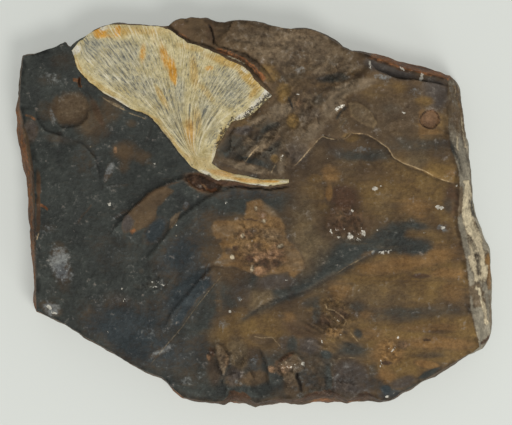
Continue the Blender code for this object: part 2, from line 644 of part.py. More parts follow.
def main():
    for obj in list(bpy.data.objects):
        bpy.data.objects.remove(obj)
    grid = leaf_grid()
    make_leaf(grid)
    make_stone(loop_of(grid))


main()
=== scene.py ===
# %% [markdown]
# A fossil ginkgo leaf on a slab of mudstone
#
# The object is one flat piece of broken stone, about as long as a hand, with a thin cream leaf lying in
# its top face. The solids of both are already built, in model.glb. This script dresses them: it makes a
# finer surface for the stone and for the leaf, in the same place and at the same size, and gives each
# one its colours. We start by loading the imported model, which fixes the frame: metres, +Z up, and the
# slab lying flat on z = 0.

# %% Load the frame
import math

import bpy
import numpy as np
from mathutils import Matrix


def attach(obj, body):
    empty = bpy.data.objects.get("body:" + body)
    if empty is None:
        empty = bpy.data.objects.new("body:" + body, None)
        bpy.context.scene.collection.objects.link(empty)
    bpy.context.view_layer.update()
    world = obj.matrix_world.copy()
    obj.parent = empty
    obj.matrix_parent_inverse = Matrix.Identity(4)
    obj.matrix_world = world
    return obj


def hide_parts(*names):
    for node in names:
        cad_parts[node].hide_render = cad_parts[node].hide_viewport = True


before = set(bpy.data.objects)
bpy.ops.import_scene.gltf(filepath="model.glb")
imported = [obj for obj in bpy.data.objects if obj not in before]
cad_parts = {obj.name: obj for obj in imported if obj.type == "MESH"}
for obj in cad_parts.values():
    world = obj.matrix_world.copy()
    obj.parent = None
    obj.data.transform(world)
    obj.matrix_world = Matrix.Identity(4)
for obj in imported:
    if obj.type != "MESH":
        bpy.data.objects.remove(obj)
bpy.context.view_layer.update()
MM = 0.001

# %% [markdown]
# One tracing for every shape and stain
#
# Natural things have no round numbers, so the shapes here are drawn on a tracing of the top face: u
# counts to the right and v counts down, and three units make a millimetre. The solid was drawn on the
# same tracing, so an outline given here lands where the solid has it.

# %% The tracing
SLAB_LENGTH = 0.160
SLAB_THICKNESS = 0.018
TRACE_LENGTH = 480.0
UNIT = SLAB_LENGTH / TRACE_LENGTH
ORIGIN_U, ORIGIN_V = 254.4, 210.4


def place(traced):
    """Tracing units to metres: x grows with u, and y grows as v shrinks."""
    traced = np.asarray(traced, float)
    return np.stack([(traced[..., 0] - ORIGIN_U) * UNIT, (ORIGIN_V - traced[..., 1]) * UNIT], -1)


def trace(placed):
    """Metres back to tracing units, as u and v."""
    return placed[..., 0] / UNIT + ORIGIN_U, ORIGIN_V - placed[..., 1] / UNIT


print(f"one unit of the tracing is {UNIT / MM:.3f} mm")

# %% [markdown]
# Small tools for stone
#
# Stone needs randomness that is the same on every run. Value noise does that: it gives each corner of a
# square lattice a height from a sine of its own number, and blends between the corners along an S
# curve. Adding it to itself at half the cell size gives layered noise. Crumbs are a Voronoi pattern:
# each square holds one seed point, and a point belongs to its nearest seed, which gives the angular
# grains of a broken surface.


# %% Noise
I_WAVE, J_WAVE, SEED_WAVE = 127.1, 311.7, 74.7  # radians per square and per seed, with no common measure
WAVE_HEIGHT = 43758.5453  # so high that neighbours share no digits after the point


def smooth(value):
    """0 to 1 along the S curve 3t^2 - 2t^3."""
    value = np.clip(value, 0, 1)
    return value * value * (3 - 2 * value)


def tapered(share, steep):
    """1 along a line and 0 at both ends, over a part in steep of its length."""
    return smooth(share * steep) * smooth((1 - share) * steep)


def turned(u, v, degrees):
    """The same points counted along and across a direction turned by that many degrees."""
    spin = math.radians(degrees)
    return u * math.cos(spin) + v * math.sin(spin), v * math.cos(spin) - u * math.sin(spin)


def lattice(i, j, seed):
    """A number from 0 to 1 for each square of the lattice: the far digits of a large sine."""
    wave = np.sin(i * I_WAVE + j * J_WAVE + seed * SEED_WAVE) * WAVE_HEIGHT
    return wave - np.floor(wave)


def value_noise(x, y, cell, seed):
    """-1 to 1: the four corner heights of the square, blended by the S curve of the place in it."""
    i, j = np.floor(x / cell), np.floor(y / cell)
    a, b = smooth(x / cell - i), smooth(y / cell - j)
    low = lattice(i, j, seed) * (1 - a) + lattice(i + 1, j, seed) * a
    high = lattice(i, j + 1, seed) * (1 - a) + lattice(i + 1, j + 1, seed) * a
    return (low * (1 - b) + high * b) * 2 - 1


def layered_noise(x, y, cell, seed, layers=4):
    """Value noise plus itself at half the cell and half the height, as many times as asked."""
    total = sum(value_noise(x, y, cell / 2**k, seed + 13 * k) / 2**k for k in range(layers))
    return total / (2 - 2.0 ** (1 - layers))


def swayed(u, v, amount, cell, seed_u, seed_v):
    """The same points moved by up to that amount by two fields of layered noise."""
    du, dv = layered_noise(u, v, cell, seed_u, 3), layered_noise(u, v, cell, seed_v, 3)
    return u + amount * du, v + amount * dv


def crumbs(u, v, cell, seed):
    """For each point: the way to its nearest grain's seed, in cells, and that grain's own number."""
    i, j = np.floor(u / cell), np.floor(v / cell)
    best = np.full(np.shape(u), 9.0)
    best_u, best_v, number = np.zeros((3, *np.shape(u)))
    for di in (-1, 0, 1):
        for dj in (-1, 0, 1):
            away_u = u / cell - i - di - lattice(i + di, j + dj, seed)
            away_v = v / cell - j - dj - lattice(i + di, j + dj, seed + 5)
            away = np.hypot(away_u, away_v)
            closer = away < best
            best = np.where(closer, away, best)
            best_u, best_v = np.where(closer, away_u, best_u), np.where(closer, away_v, best_v)
            number = np.where(closer, lattice(i + di, j + dj, seed + 9), number)
    return best_u, best_v, number


print("noise at one place:", round(float(layered_noise(np.array(3.0), np.array(7.0), 5.0, 1)), 3))

# %% [markdown]
# Distances
#
# A broken edge, a scratch and a stain are all told by how far a point is from a line. The distance is
# signed: positive on the left of an open line as it is walked, and positive inside a closed one. It is
# worked out one stretch of the line at a time, for all points at once.


# %% Distance to a line and to a loop
def line_distance(u, v, line):
    """Signed distance to an open line, and the share of its length at the nearest point."""
    line = np.asarray(line, float)
    lengths = np.hypot(*np.diff(line, axis=0).T)
    before = np.r_[0, np.cumsum(lengths)]
    best, side, run = np.full(np.shape(u), 1e9), np.ones(np.shape(u)), np.zeros(np.shape(u))
    for (u0, v0), (u1, v1), start, length in zip(line[:-1], line[1:], before, lengths):
        du, dv = (u1 - u0) / length, (v1 - v0) / length
        walked = (u - u0) * du + (v - v0) * dv
        along = np.clip(walked, 0, length)
        away = np.hypot(u - u0 - along * du, v - v0 - along * dv)
        closer = away < best
        left = (u - u0) * dv - (v - v0) * du
        best = np.where(closer, away, best)
        side = np.where(closer, np.where(left >= 0, 1.0, -1.0), side)
        run = np.where(closer, start + along, run)
    return best * side, run / before[-1]


def loop_distance(u, v, outline):
    """Signed distance to a closed outline, positive inside, by counting the edges to the right."""
    outline = np.asarray(outline, float)
    best, crossings = np.full(np.shape(u), 1e9), np.zeros(np.shape(u))
    for (u0, v0), (u1, v1) in zip(outline, np.roll(outline, -1, axis=0)):
        length = math.hypot(u1 - u0, v1 - v0)
        du, dv = (u1 - u0) / length, (v1 - v0) / length
        along = np.clip((u - u0) * du + (v - v0) * dv, 0, length)
        best = np.minimum(best, np.hypot(u - u0 - along * du, v - v0 - along * dv))
        if v0 != v1:
            crossings += ((v0 > v) != (v1 > v)) & (u < (u1 - u0) * (v - v0) / (v1 - v0) + u0)
    return np.where(crossings % 2 == 1, best, -best)


print("left of a line drawn to the right:", float(line_distance(5.0, -1.0, [(0, 0), (9, 0)])[0]))

# %% [markdown]
# The broken rim
#
# The rim of the top face is the slab's most telling line. It is broken, so it has short straight
# stretches, notches and corners. The third number of each point says how far the wall below flares out
# past the rim: a lot on the right, where the side is a slope that is seen from above, and hardly at all
# along the top.

# %% Outline of the top face
RIM = [
    (24, 56, 2), (35, 54.5, 2), (43, 50.6, 1), (54, 47.3, 1), (65.3, 42.1, 1), (67.5, 46, 1),
    (70.5, 47.7, 1), (75, 43, 1), (81, 38.4, 0.4), (86.5, 35, 0.4), (94.7, 29.4, 0.4), (103.7, 25.8, 0.4),
    (112.7, 23.7, 0.4), (126, 24.2, 0.4), (140.4, 24.5, 0.4), (152, 25.3, 0.4), (162, 26.1, 0.4),
    (168.2, 26.1, 0.4), (170.6, 24.3, 1), (175.5, 20.9, 1), (182.9, 18.8, 1), (190.2, 17.6, 1),
    (205.7, 18.4, 1), (210.6, 20.4, 1), (217, 22, 1), (224.5, 22.5, 1), (231.8, 21.2, 1), (240.8, 20.9, 1),
    (256, 22, 1), (272, 26.1, 1), (288.7, 29, 1), (306.6, 29.1, 1), (314.8, 31, 1), (324.6, 35.6, 1),
    (334.4, 41.6, 1), (344.2, 48.2, 1), (352.3, 51.9, 2), (360.5, 52.3, 2), (368, 54.5, 4),
    (380.5, 59.6, 7), (395, 65, 7.5), (408, 68.5, 7), (417, 70.5, 6.5), (425, 73, 7), (436, 76, 7),
    (446.6, 79, 6.5), (447.5, 86, 13), (447.3, 100, 17), (447, 114, 19), (447.3, 128, 20.5),
    (447.8, 139, 22), (452, 155, 19.5), (456, 165, 17.5), (458, 172, 16.5), (458.8, 183, 16.5),
    (458.6, 196, 17.5), (457.2, 209, 20), (456.6, 222, 22), (459.5, 238, 27), (463.8, 259, 29.5),
    (466, 272, 27.5), (467, 282, 26.5), (468, 296, 27.5), (469.5, 308, 26.5), (472, 322, 24),
    (475.5, 334, 21), (478, 341, 13), (479.5, 347, 5), (473, 352.3, 3), (463, 356.7, 3), (452, 364, 3),
    (439, 371.4, 3), (429, 377, 3), (419, 382.8, 3), (411, 388.3, 3), (401, 392.6, 3), (396, 396.5, 3),
    (390, 400.2, 4), (380, 400, 4.5), (375, 397.5, 6.5), (369.6, 395, 9), (359.4, 395.6, 9),
    (348, 399.2, 5.5), (343, 397.5, 6.5), (336.7, 393.4, 11), (325.4, 392.2, 13), (317.4, 393.4, 12),
    (302.7, 397.8, 8), (290, 399.5, 6), (280, 398.5, 7.5), (268, 400.5, 6.5), (256.6, 403, 4.5),
    (251, 400, 7), (244, 394.5, 12.5), (236.2, 392.2, 14.5), (229.4, 393.6, 13), (223, 401, 4),
    (210, 401.8, 3), (196, 399.6, 3), (183.5, 397.5, 2), (175, 390, 2), (168.2, 382.8, 2),
    (162.4, 376.8, 2), (146.9, 372.2, 2), (137, 366.5, 2), (125.7, 360.8, 2), (114.3, 353.4, 2),
    (104.5, 347.7, 2), (94.7, 342, 2), (84.9, 336.3, 2), (71.8, 328.1, 2), (57.1, 319.9, 2),
    (47.3, 315.9, 2), (36.8, 310.6, 3), (36.8, 303, 4.5), (36.6, 290, 5), (36.5, 275, 6), (36.3, 258, 7),
    (36, 240, 8.5), (35.8, 222, 9), (35.4, 205, 10), (35, 190, 10.5), (34, 172, 12), (32.5, 158, 14),
    (30.4, 143, 15), (27.9, 133, 14), (25.3, 127, 11.5), (22.8, 117.4, 8.5), (20.7, 108, 6.5),
    (20.3, 98, 4), (20.8, 86, 3), (21.6, 70, 2), (22.5, 62, 2),
]
CORNERS = [(24, 56), (446.6, 79), (479.5, 347), (36.8, 310.6)]


def between_corners(k):
    """The stretch of rim from one corner to the next."""
    flat = [point[:2] for point in RIM]
    first, last = flat.index(CORNERS[k]), flat.index(CORNERS[(k + 1) % 4])
    ring = RIM + RIM[: last + 1]
    return np.array(ring[first: last + 1] if first < last else ring[first: len(RIM) + last + 1])


def ring_of(grid):
    """A grid's boundary, clockwise from its first point."""
    return np.concatenate([grid[0, :-1], grid[:-1, -1], grid[-1, :0:-1], grid[:0:-1, 0]])


def evenly(line, count):
    """Points at equal steps along a line, both ends included; further columns are carried along."""
    run = np.r_[0, np.cumsum(np.hypot(*np.diff(line[:, :2], axis=0).T))]
    at = np.linspace(0, run[-1], count)
    return np.stack([np.interp(at, run, line[:, k]) for k in range(line.shape[1])], -1)


print(f"the rim has {len(RIM)} traced points")

# %% [markdown]
# The top face as one four-sided patch
#
# A grid stretched over the outline gives even, small faces, which is what fine relief needs. A Coons
# patch does it: the outline is cut at four corners, each point of the grid is the average of what its
# row's ends and its column's ends ask for, and what the four corners ask for is taken off once. One
# step of the grid is about half a millimetre, which is fine enough for the ledges' shadows and keeps
# the piece well under the number of triangles that the parts library allows.

# %% Grid of the top face
COLUMNS, ROWS = 313, 237


def coons(low, high, left, right):
    """Grid between four edges: rows of across, plus columns of up, minus the bilinear corners."""
    t = np.linspace(0, 1, len(left))[:, None, None]
    s = np.linspace(0, 1, len(low))[None, :, None]
    across = left[:, None] * (1 - s) + right[:, None] * s
    up = low[None] * (1 - t) + high[None] * t
    corners = (left[0] * (1 - s) + right[0] * s) * (1 - t) + (left[-1] * (1 - s) + right[-1] * s) * t
    return across + up - corners


top_edge = evenly(between_corners(0), COLUMNS)
right_edge = evenly(between_corners(1), ROWS)
bottom_edge = evenly(between_corners(2), COLUMNS)[::-1]
left_edge = evenly(between_corners(3), ROWS)[::-1]
top_grid = coons(top_edge, bottom_edge, left_edge, right_edge)[..., :2]
rim_ring = np.concatenate([top_edge[:-1], right_edge[:-1], bottom_edge[:0:-1], left_edge[:0:-1]])
print("top face grid:", top_grid.shape[:2], "rim points:", len(rim_ring))

# %% [markdown]
# Roughening the rim
#
# A traced line is too clean for a break. Each rim point moves in or out along the rim's own normal by a
# small amount of layered noise, and the points just inside follow it by less and less, so that the grid
# stays even.


# %% Ragged rim
RIM_RAG, RIM_RAG_CELL = 0.55, 6.0


def ring_normals(ring, reach):
    """Unit outward normals of a clockwise ring, smoothed over neighbours on both sides."""
    run = np.roll(ring, -1, axis=0) - np.roll(ring, 1, axis=0)
    run = sum(np.roll(run, k, axis=0) for k in range(-reach, reach + 1))
    run /= np.linalg.norm(run, axis=1, keepdims=True)
    return np.stack([run[:, 1], -run[:, 0]], -1)


rag = RIM_RAG * layered_noise(rim_ring[:, 0], rim_ring[:, 1], RIM_RAG_CELL, 61, 3)
rim_shift = ring_normals(rim_ring[:, :2], 2) * rag[:, None]
rim_uv = rim_ring[:, :2] + rim_shift
edges = {
    "top": rim_uv[: COLUMNS],
    "right": rim_uv[COLUMNS - 1: COLUMNS + ROWS - 1],
    "bottom": rim_uv[COLUMNS + ROWS - 2: 2 * COLUMNS + ROWS - 2][::-1],
    "left": np.r_[rim_uv[2 * COLUMNS + ROWS - 3:], rim_uv[:1]][::-1],
}
top_grid = coons(edges["top"], edges["bottom"], edges["left"], edges["right"])
print("rim moved by up to", round(float(np.abs(rim_shift).max()), 2), "units")

# %% [markdown]
# The leaf's outline
#
# The leaf is a fan on a stalk. Two margins run from the tip of the petiole up to the ends of the fan,
# and the outer margin closes it along the slab's broken edge. The stone needs the outline as well, for
# the shallow bed that the leaf lies in, so it comes first.

# %% Outline of the leaf
LEFT_MARGIN = [
    (288.9, 183.2), (279.7, 184.4), (267.7, 186.2), (250, 184.2), (238, 182), (228, 180.3), (218, 180.2),
    (206, 175), (198.5, 171), (191.5, 167), (182, 155.8), (170, 140.7), (157, 123.9), (149.5, 116.3),
    (141, 112), (130.6, 109), (117.6, 100.4), (104.5, 93), (91.4, 83.3), (83.3, 75.9), (76.7, 66.9),
    (74.3, 57.1), (71.8, 50.6),
]
RIGHT_MARGIN = [
    (288.9, 179.3), (274.3, 179), (264.5, 179.5), (255.8, 178), (247, 176), (234, 173.6), (223.3, 170.6),
    (216.8, 167), (211.5, 163), (214.6, 156), (216.8, 147.7), (223.3, 135.8), (229.8, 125), (234, 121),
    (245, 118.4), (253.6, 113), (265.4, 102), (272, 95.4),
]
PETIOLE_POINTS = 9
OUTER_MARGIN = [
    (71.8, 50.6), (77.6, 43.3), (86.5, 35.8), (94.7, 30.2), (103.7, 26.6), (112.7, 24.5), (140.4, 25.3),
    (161.6, 26.9), (169.8, 30), (178, 35.6), (187.8, 42.8), (199.2, 45.9), (210.6, 50.6), (217.1, 53.5),
    (228.6, 60.2), (241.6, 65.3), (249.8, 71.8), (254, 79), (260.4, 85.5), (266.2, 90.4), (272, 95.4),
]
LEAF_OUTLINE = LEFT_MARGIN + OUTER_MARGIN[1:-1] + RIGHT_MARGIN[::-1]
print(f"the leaf's outline has {len(LEAF_OUTLINE)} points")

# %% [markdown]
# Bedding plane, ledges, cracks and patches
#
# Mudstone splits along its beds. The top face is one such split, so it is nearly flat, with long low
# swells. Where a bed broke off it leaves a ledge: a short steep step that sinks back into the plane
# behind it. The numbers are those of the solid. Here each line is also bent by noise before the
# distance to it is taken, which turns a clean step into a broken one.

# %% Swells and ledges
SWELLS = [  # u, v and radius in units, rise in millimetres
    (70, 172, 34, 0.9), (68, 104, 20, -0.5), (110, 300, 60, -0.5), (135, 160, 30, -0.5),
    (256, 238, 34, 0.7), (345, 222, 22, 0.3), (221, 358, 13, 0.5), (262, 388, 14, -0.6), (300, 45, 40, 0.4),
    (338, 72, 16, -0.8), (318, 122, 20, 0.4), (258, 140, 14, 0.7), (282, 125, 12, -0.6),
    (400, 320, 60, 0.4), (330, 340, 18, 0.6), (350, 378, 22, -0.4), (170, 345, 30, 0.4),
    (300, 205, 16, -0.3),
]
LEDGES = {  # rise, reach and tapers in millimetres
    "bed_over_leaf": dict(
        line=[(160, 14), (167, 22.5), (173.5, 29), (181, 34.5), (190, 40.6), (200, 43), (212, 47.4),
            (218.5, 50), (230.5, 55), (242, 60), (250.5, 66.5), (258, 75), (264, 82), (271, 89), (281, 99)],
        rise=1.2, reach=30, tapers=(0.1, 14)),
    "upper_layer": dict(
        line=[(214, 41), (219, 46), (232, 49.5), (245, 54), (256, 60.5), (264.5, 69), (271, 77), (280, 88)],
        rise=1.0, reach=24, tapers=(2, 12)),
    "left_plate": dict(
        line=[(205, 176), (192.6, 174.7), (178, 180), (165.4, 183.8), (149.5, 192.9), (137, 204.2),
            (128.5, 212), (123, 219), (115.4, 227.6), (108.6, 238)],
        rise=0.7, reach=11, tapers=(4, 5)),
    "middle_plate": dict(
        line=[(232, 190.5), (219, 192), (208.4, 197.4), (199.4, 204.2), (188, 212), (176.7, 221),
            (169.9, 229), (163, 239.4), (151.7, 253), (142, 264)],
        rise=0.5, reach=9, tapers=(3, 5)),
    "lower_plate": dict(
        line=[(216, 266), (208.4, 272), (199.4, 280), (190, 291.5), (178, 305), (170.4, 315), (164.7, 330)],
        rise=0.55, reach=7, tapers=(3, 5)),
    "dish_rim": dict(
        line=[(89, 106), (87.3, 118.3), (80, 125.4), (71.9, 128), (62, 127.4), (54, 122)],
        rise=0.5, reach=8, tapers=(4, 4)),
    "outer_arc": dict(
        line=[(66, 137), (60.3, 135.7), (52, 133.5), (44.8, 129.9), (37.4, 121), (34.2, 112.5),
            (33.6, 107)],
        rise=0.5, reach=7, tapers=(3, 2)),
    "faint_arc": dict(
        line=[(99, 182), (99, 174), (95, 157), (83.5, 145), (70, 139.5)],
        rise=0.35, reach=8, tapers=(4, 4)),
    "veined_bed": dict(
        line=[(288, 169), (297, 165), (313.3, 146.7), (323.3, 135.8), (336.7, 139), (343.3, 139),
            (348.3, 134), (365, 135), (376.7, 140.8), (386.7, 148.3), (393.3, 157.5), (408.3, 166.7),
            (420, 170), (433.3, 176.7), (448, 181.7), (455, 183.2)],
        rise=0.45, reach=12, tapers=(12, 1)),
    "slanting_bed": dict(
        line=[(234, 322), (244, 317), (272, 300), (306.5, 291), (336, 272.4), (357.7, 261), (374.7, 252),
            (392, 244)],
        rise=0.3, reach=9, tapers=(7, 7)),
    "top_right_step": dict(
        line=[(456, 88), (440, 84), (425, 81), (418, 80.5), (410, 79.5), (398, 78), (386, 74.5), (377, 70),
            (368, 62)],
        rise=1.2, reach=16, tapers=(12, 4)),
    "foot_ledge": dict(
        line=[(258, 346), (262, 354), (266.8, 366), (268, 376), (269, 388)],
        rise=0.5, reach=8, tapers=(3, 2)),
}
print(len(SWELLS), "swells,", len(LEDGES), "ledges")

# %% Grooves, patches and broken places
GROOVES = {  # widths in units, depths in millimetres
    "block_joint": dict(
        line=[(208.5, 23.5), (212, 31), (214, 39), (213.2, 46)],
        width=2.2, depth=0.5),
    "petiole_side": dict(
        line=[(222, 188.5), (238, 186.5), (254, 188.5), (270, 189.3), (282, 187.3), (292, 185.6)],
        width=2.6, depth=0.5),
    "rusty_crack": dict(
        line=[(79.6, 76), (78.7, 82), (80.4, 88)],
        width=2.7, depth=0.6),
    "bottom_crack": dict(
        line=[(297, 371), (297.5, 378), (301, 386), (301.5, 393)],
        width=3.3, depth=0.3),
    "long_scratch": dict(
        line=[(224, 274), (217, 281), (192, 312.5), (181.7, 327.6), (167, 344.6), (150, 365)],
        width=1.4, depth=0.12),
}
PATCHES = {  # rise in millimetres, slope in units
    "broken_pocket": dict(
        outline=[(184, 178.5), (189, 174.6), (198, 174.5), (207, 178.5), (216, 183.3), (222, 186.5),
            (219, 190.5), (214, 193), (205, 190), (195, 187.5), (188, 182.5)],
        rise=-1.1, slope=1.8),
    "olive_flake": dict(
        outline=[(348.3, 103.3), (356.7, 101.7), (365, 106.7), (373.3, 115), (377.5, 123.3), (373.3, 128.3),
            (366.7, 126.7), (356.7, 120.8), (350, 115.5)],
        rise=0.22, slope=1.2),
    "arched_lump": dict(
        outline=[(279.3, 366), (282.7, 358.2), (289.5, 353.4), (296.3, 354.3), (303, 362), (303.4, 369),
            (296, 374), (298, 386), (288, 388), (283, 376)],
        rise=0.5, slope=2.7),
    "narrow_lump": dict(
        outline=[(215.5, 343.5), (222, 346.5), (228.2, 357), (227, 367), (223.7, 375.2), (219.5, 367),
            (216.9, 359.4)],
        rise=0.45, slope=2.4),
    "dark_scab": dict(
        outline=[(327, 212), (336, 206), (352, 208), (365, 214), (371, 226), (364, 237), (350, 240),
            (334, 238), (325, 226)],
        rise=0.15, slope=3.6),
}
MOULD = (429.6, 119.5, 8.8)  # u, v, radius
CRUMBLY = [  # u, v, radius, roughness in millimetres
    (258, 246, 34, 0.3), (346, 226, 22, 0.34), (288, 368, 18, 0.4), (262, 142, 26, 0.3),
    (334, 318, 24, 0.4), (300, 112, 24, 0.25), (221, 358, 14, 0.35), (330, 384, 34, 0.25),
    (276, 52, 70, 0.16), (262, 176, 14, 0.3), (344, 106, 14, 0.3), (392, 352, 18, 0.25),
    (58, 270, 24, 0.12), (150, 280, 16, 0.25), (340, 75, 20, 0.3), (240, 385, 40, 0.2),
    (400, 235, 24, 0.14), (195, 182, 16, 0.4),
]
RIDGED = [  # u, v, radius, rise in millimetres, turn in degrees, ridges apart
    (255, 138, 40, 0.75, -38, 5.2), (300, 105, 34, 0.35, -42, 6), (262, 45, 60, 0.28, 24, 5),
    (120, 260, 90, 0.1, -46, 9), (330, 335, 46, 0.25, 40, 6), (230, 372, 40, 0.22, -60, 7),
    (330, 84, 40, 0.35, -18, 5), (420, 300, 70, 0.06, 0, 7), (180, 300, 60, 0.14, -44, 7),
]
SHARDS = [  # u, v, half length, half width, turn, flakes apart, stretch, rise in millimetres
    (252, 140, 42, 26, -40, 9, 1.9, 0.85), (304, 112, 30, 24, -44, 11, 1.6, 0.6),
    (336, 80, 40, 14, -14, 9, 2, 0.6), (290, 158, 14, 12, -40, 5, 1.3, 0.6),
    (330, 318, 26, 16, 30, 7, 1.4, 0.4), (238, 374, 26, 24, -60, 9, 1.6, 0.45),
    (340, 384, 34, 14, 0, 9, 1.8, 0.4), (254, 242, 36, 28, 20, 8, 1.2, 0.35),
    (148, 284, 22, 14, 0, 5, 1, 0.2), (215, 36, 26, 12, 20, 8, 2, 0.35),
]
TINTED_SHARDS = 4  # in the first four places the flakes are of different colours
print(len(GROOVES), "grooves,", len(PATCHES), "patches,", len(SHARDS), "places with flakes")

# %% [markdown]
# Adding the relief up
#
# Each feature adds its own height, and the sum is the surface. The bending noise is worked out once and
# shared, so that features that meet stay together.

# %% Bedding and ledges
BED_WAVES = [(0.22 * MM, 24 * MM, 3), (0.1 * MM, 9 * MM, 5)]  # height, cell and seed
LEDGE_SLOPE = 1.3


def bent(u, v):
    """The same points moved by up to about a unit, so that clean lines come out broken."""
    return swayed(u, v, 1.0, 9.0, 71, 83)


def bedding(u, v):
    """Height of the split bed: two sizes of noise, and a bell for each swell."""
    x, y = np.moveaxis(place(np.stack([u, v], -1)), -1, 0)
    height = sum(rise * value_noise(x, y, cell, seed) for rise, cell, seed in BED_WAVES)
    for swell_u, swell_v, radius, rise in SWELLS:
        height += rise * MM * np.exp(-((u - swell_u)**2 + (v - swell_v)**2) / radius**2)
    return height


def ledge_height(u, v, ledge):
    """Zero in front of the line; behind it the rise, faded by a bell of the distance and by the ends."""
    away, share = line_distance(u, v, ledge["line"])
    length = np.hypot(*np.diff(np.array(ledge["line"]), axis=0).T).sum() * UNIT
    first, last = ledge["tapers"]
    ends = smooth(share * length / (first * MM)) * smooth((1 - share) * length / (last * MM))
    step = smooth(away / LEDGE_SLOPE + 0.5)
    fall = np.exp(-(np.maximum(away, 0) * UNIT / (ledge["reach"] * MM))**2)
    return ledge["rise"] * MM * ends * step * fall


print("the middle of the plane lies at", round(float(bedding(240.0, 212.0) / MM), 2), "mm")


# %% Crumbs, ridges and flakes
def crumble(u, v):
    """How crumbly each place is, 0 to 1 times its own roughness in millimetres."""
    rough = np.zeros(np.shape(u))
    for cu, cv, radius, amount in CRUMBLY:
        away = np.hypot(u - cu, v - cv) / radius + 0.3 * layered_noise(u, v, 16.0, 91, 3)
        rough = np.maximum(rough, amount * smooth(1.8 - 1.8 * away))
    return rough


def ridges(u, v):
    """Long low ridges in some places: one minus the size of a noise stretched along one direction."""
    total = np.zeros(np.shape(u))
    for number, (cu, cv, radius, rise, turn, apart) in enumerate(RIDGED):
        along, across = turned(u - cu, v - cv, turn)
        near = smooth(1.5 - 1.5 * np.hypot(along, across) / radius)
        wave = layered_noise(along / 3.2, across + 0.25 * along, apart, 150 + number, 3)
        total += rise * MM * near * (0.6 - 1.6 * np.abs(wave))
    return total


def shards(u, v):
    """Broken flakes: each Voronoi cell is a tilted facet at its own height. Also each cell's number."""
    total, number = np.zeros(np.shape(u)), np.full(np.shape(u), 0.5)
    su, sv = swayed(u, v, 3.0, 12.0, 171, 173)
    for seed, (cu, cv, half_u, half_v, turn, apart, long, rise) in enumerate(SHARDS):
        along, across = turned(su - cu, sv - cv, turn)
        near = smooth(2.4 - 2.4 * np.hypot(along / half_u, across / half_v))
        tilt_u, tilt_v, cell = crumbs(along / long, across, apart, 180 + 7 * seed)
        lean = (cell * 7 % 1 - 0.5) * tilt_u + (cell * 13 % 1 - 0.5) * tilt_v
        total += rise * MM * near * (0.8 * (cell - 0.5) + 1.5 * lean)
        number = np.where((near > 0.5) & (seed < TINTED_SHARDS), cell, number)
    return total, number


print(len(CRUMBLY), "crumbly places,", len(RIDGED), "ridged ones")

# %% Height of the top face
MOULD_DEPTH, MOULD_SLOPE = 0.8 * MM, 1.2
CRUMB_SIZES = [(7.5, 41, 0.7), (3.6, 43, 0.8)]  # cell, seed and share of the roughness
CLAY_LUMPS = [(0.05 * MM, 6.0, 53), (0.12 * MM, 17.0, 55)]  # height, cell and seed


def top_height(u, v):
    """Height of the stone's top face above its nominal plane, in metres."""
    bu, bv = bent(u, v)
    height = bedding(u, v)
    for ledge in LEDGES.values():
        height += ledge_height(bu, bv, ledge)
    for groove in GROOVES.values():
        away, share = line_distance(bu, bv, groove["line"])
        across = smooth(1.2 - 2.4 * np.abs(away) / groove["width"])
        height -= groove["depth"] * MM * tapered(share, 8) * across
    for patch in PATCHES.values():
        away = loop_distance(bu, bv, patch["outline"])
        height += patch["rise"] * MM * smooth(away / patch["slope"] + 0.5)
    mould_away = MOULD[2] - np.hypot(u - MOULD[0], v - MOULD[1])
    height -= MOULD_DEPTH * smooth(mould_away / MOULD_SLOPE + 0.5)
    rough = crumble(u, v)
    for cell, seed, share in CRUMB_SIZES:
        rough_u = bu + 0.25 * cell * layered_noise(u, v, 3.0, 45, 2)
        grain_u, grain_v, number = crumbs(rough_u, bv, cell, seed)
        height += share * rough * MM * (number - 0.5) * smooth(1.7 - 1.5 * np.hypot(grain_u, grain_v))
    height += 0.45 * rough * MM * layered_noise(u, v, 3.4, 47, 2)
    height += sum(rise * layered_noise(u, v, cell, seed, 3) for rise, cell, seed in CLAY_LUMPS)
    return height + ridges(bu, bv) + shards(u, v)[0]


uu, vv = top_grid[..., 0], top_grid[..., 1]
height = top_height(uu, vv)
print("relief from", round(float(height.min() / MM), 2), "to", round(float(height.max() / MM), 2), "mm")

# %% [markdown]
# The leaf's bed and the chipped rim
#
# Under the leaf the stone sinks by less than a millimetre, so that the leaf's film has room and its edge
# goes into the stone with no gap. Along the rim small scallops are knocked off. Both are a smooth step
# of a distance: the first to the leaf's outline, the second to the rim.

# %% Bed and chips
LEAF_BED = 0.7 * MM
BED_INSET, BED_SLOPE = 0.9, 1.4
CHIP_DROP, CHIP_STEPS = 0.45 * MM, 4.5
# Painted light and shade from the relief: the heights at which a proud grain and a proud lump are drawn at
# their lightest, and hollows as deep at their darkest
EDGE_SHADE_RELIEF, PLACE_SHADE_RELIEF = 0.10 * MM, 0.45 * MM  # how proud a grain or a lump is when it is fully worn

under_leaf = loop_distance(uu, vv, LEAF_OUTLINE)
height = height - (height - bedding(uu, vv) + LEAF_BED) * smooth((under_leaf - BED_INSET) / BED_SLOPE)
i, j = np.mgrid[:ROWS, :COLUMNS]
to_rim = np.minimum(np.minimum(i, ROWS - 1 - i), np.minimum(j, COLUMNS - 1 - j))
chips = smooth(1.7 * layered_noise(uu, vv, 11.0, 23, 3) + 0.35)
off_leaf = smooth(1 - (under_leaf + 2.5) / 2.5)
height = height - CHIP_DROP * chips * smooth(1 - to_rim / CHIP_STEPS) * off_leaf
top_points = np.concatenate([place(top_grid), (SLAB_THICKNESS + height)[..., None]], -1)


def levelled(field, times):
    """A grid's values averaged with their neighbours, that many times."""
    for _ in range(times):
        wide = np.pad(field, 1, mode="edge")
        field = (wide[:-2, 1:-1] + wide[2:, 1:-1] + wide[1:-1, :-2] + wide[1:-1, 2:]) / 4
    return field


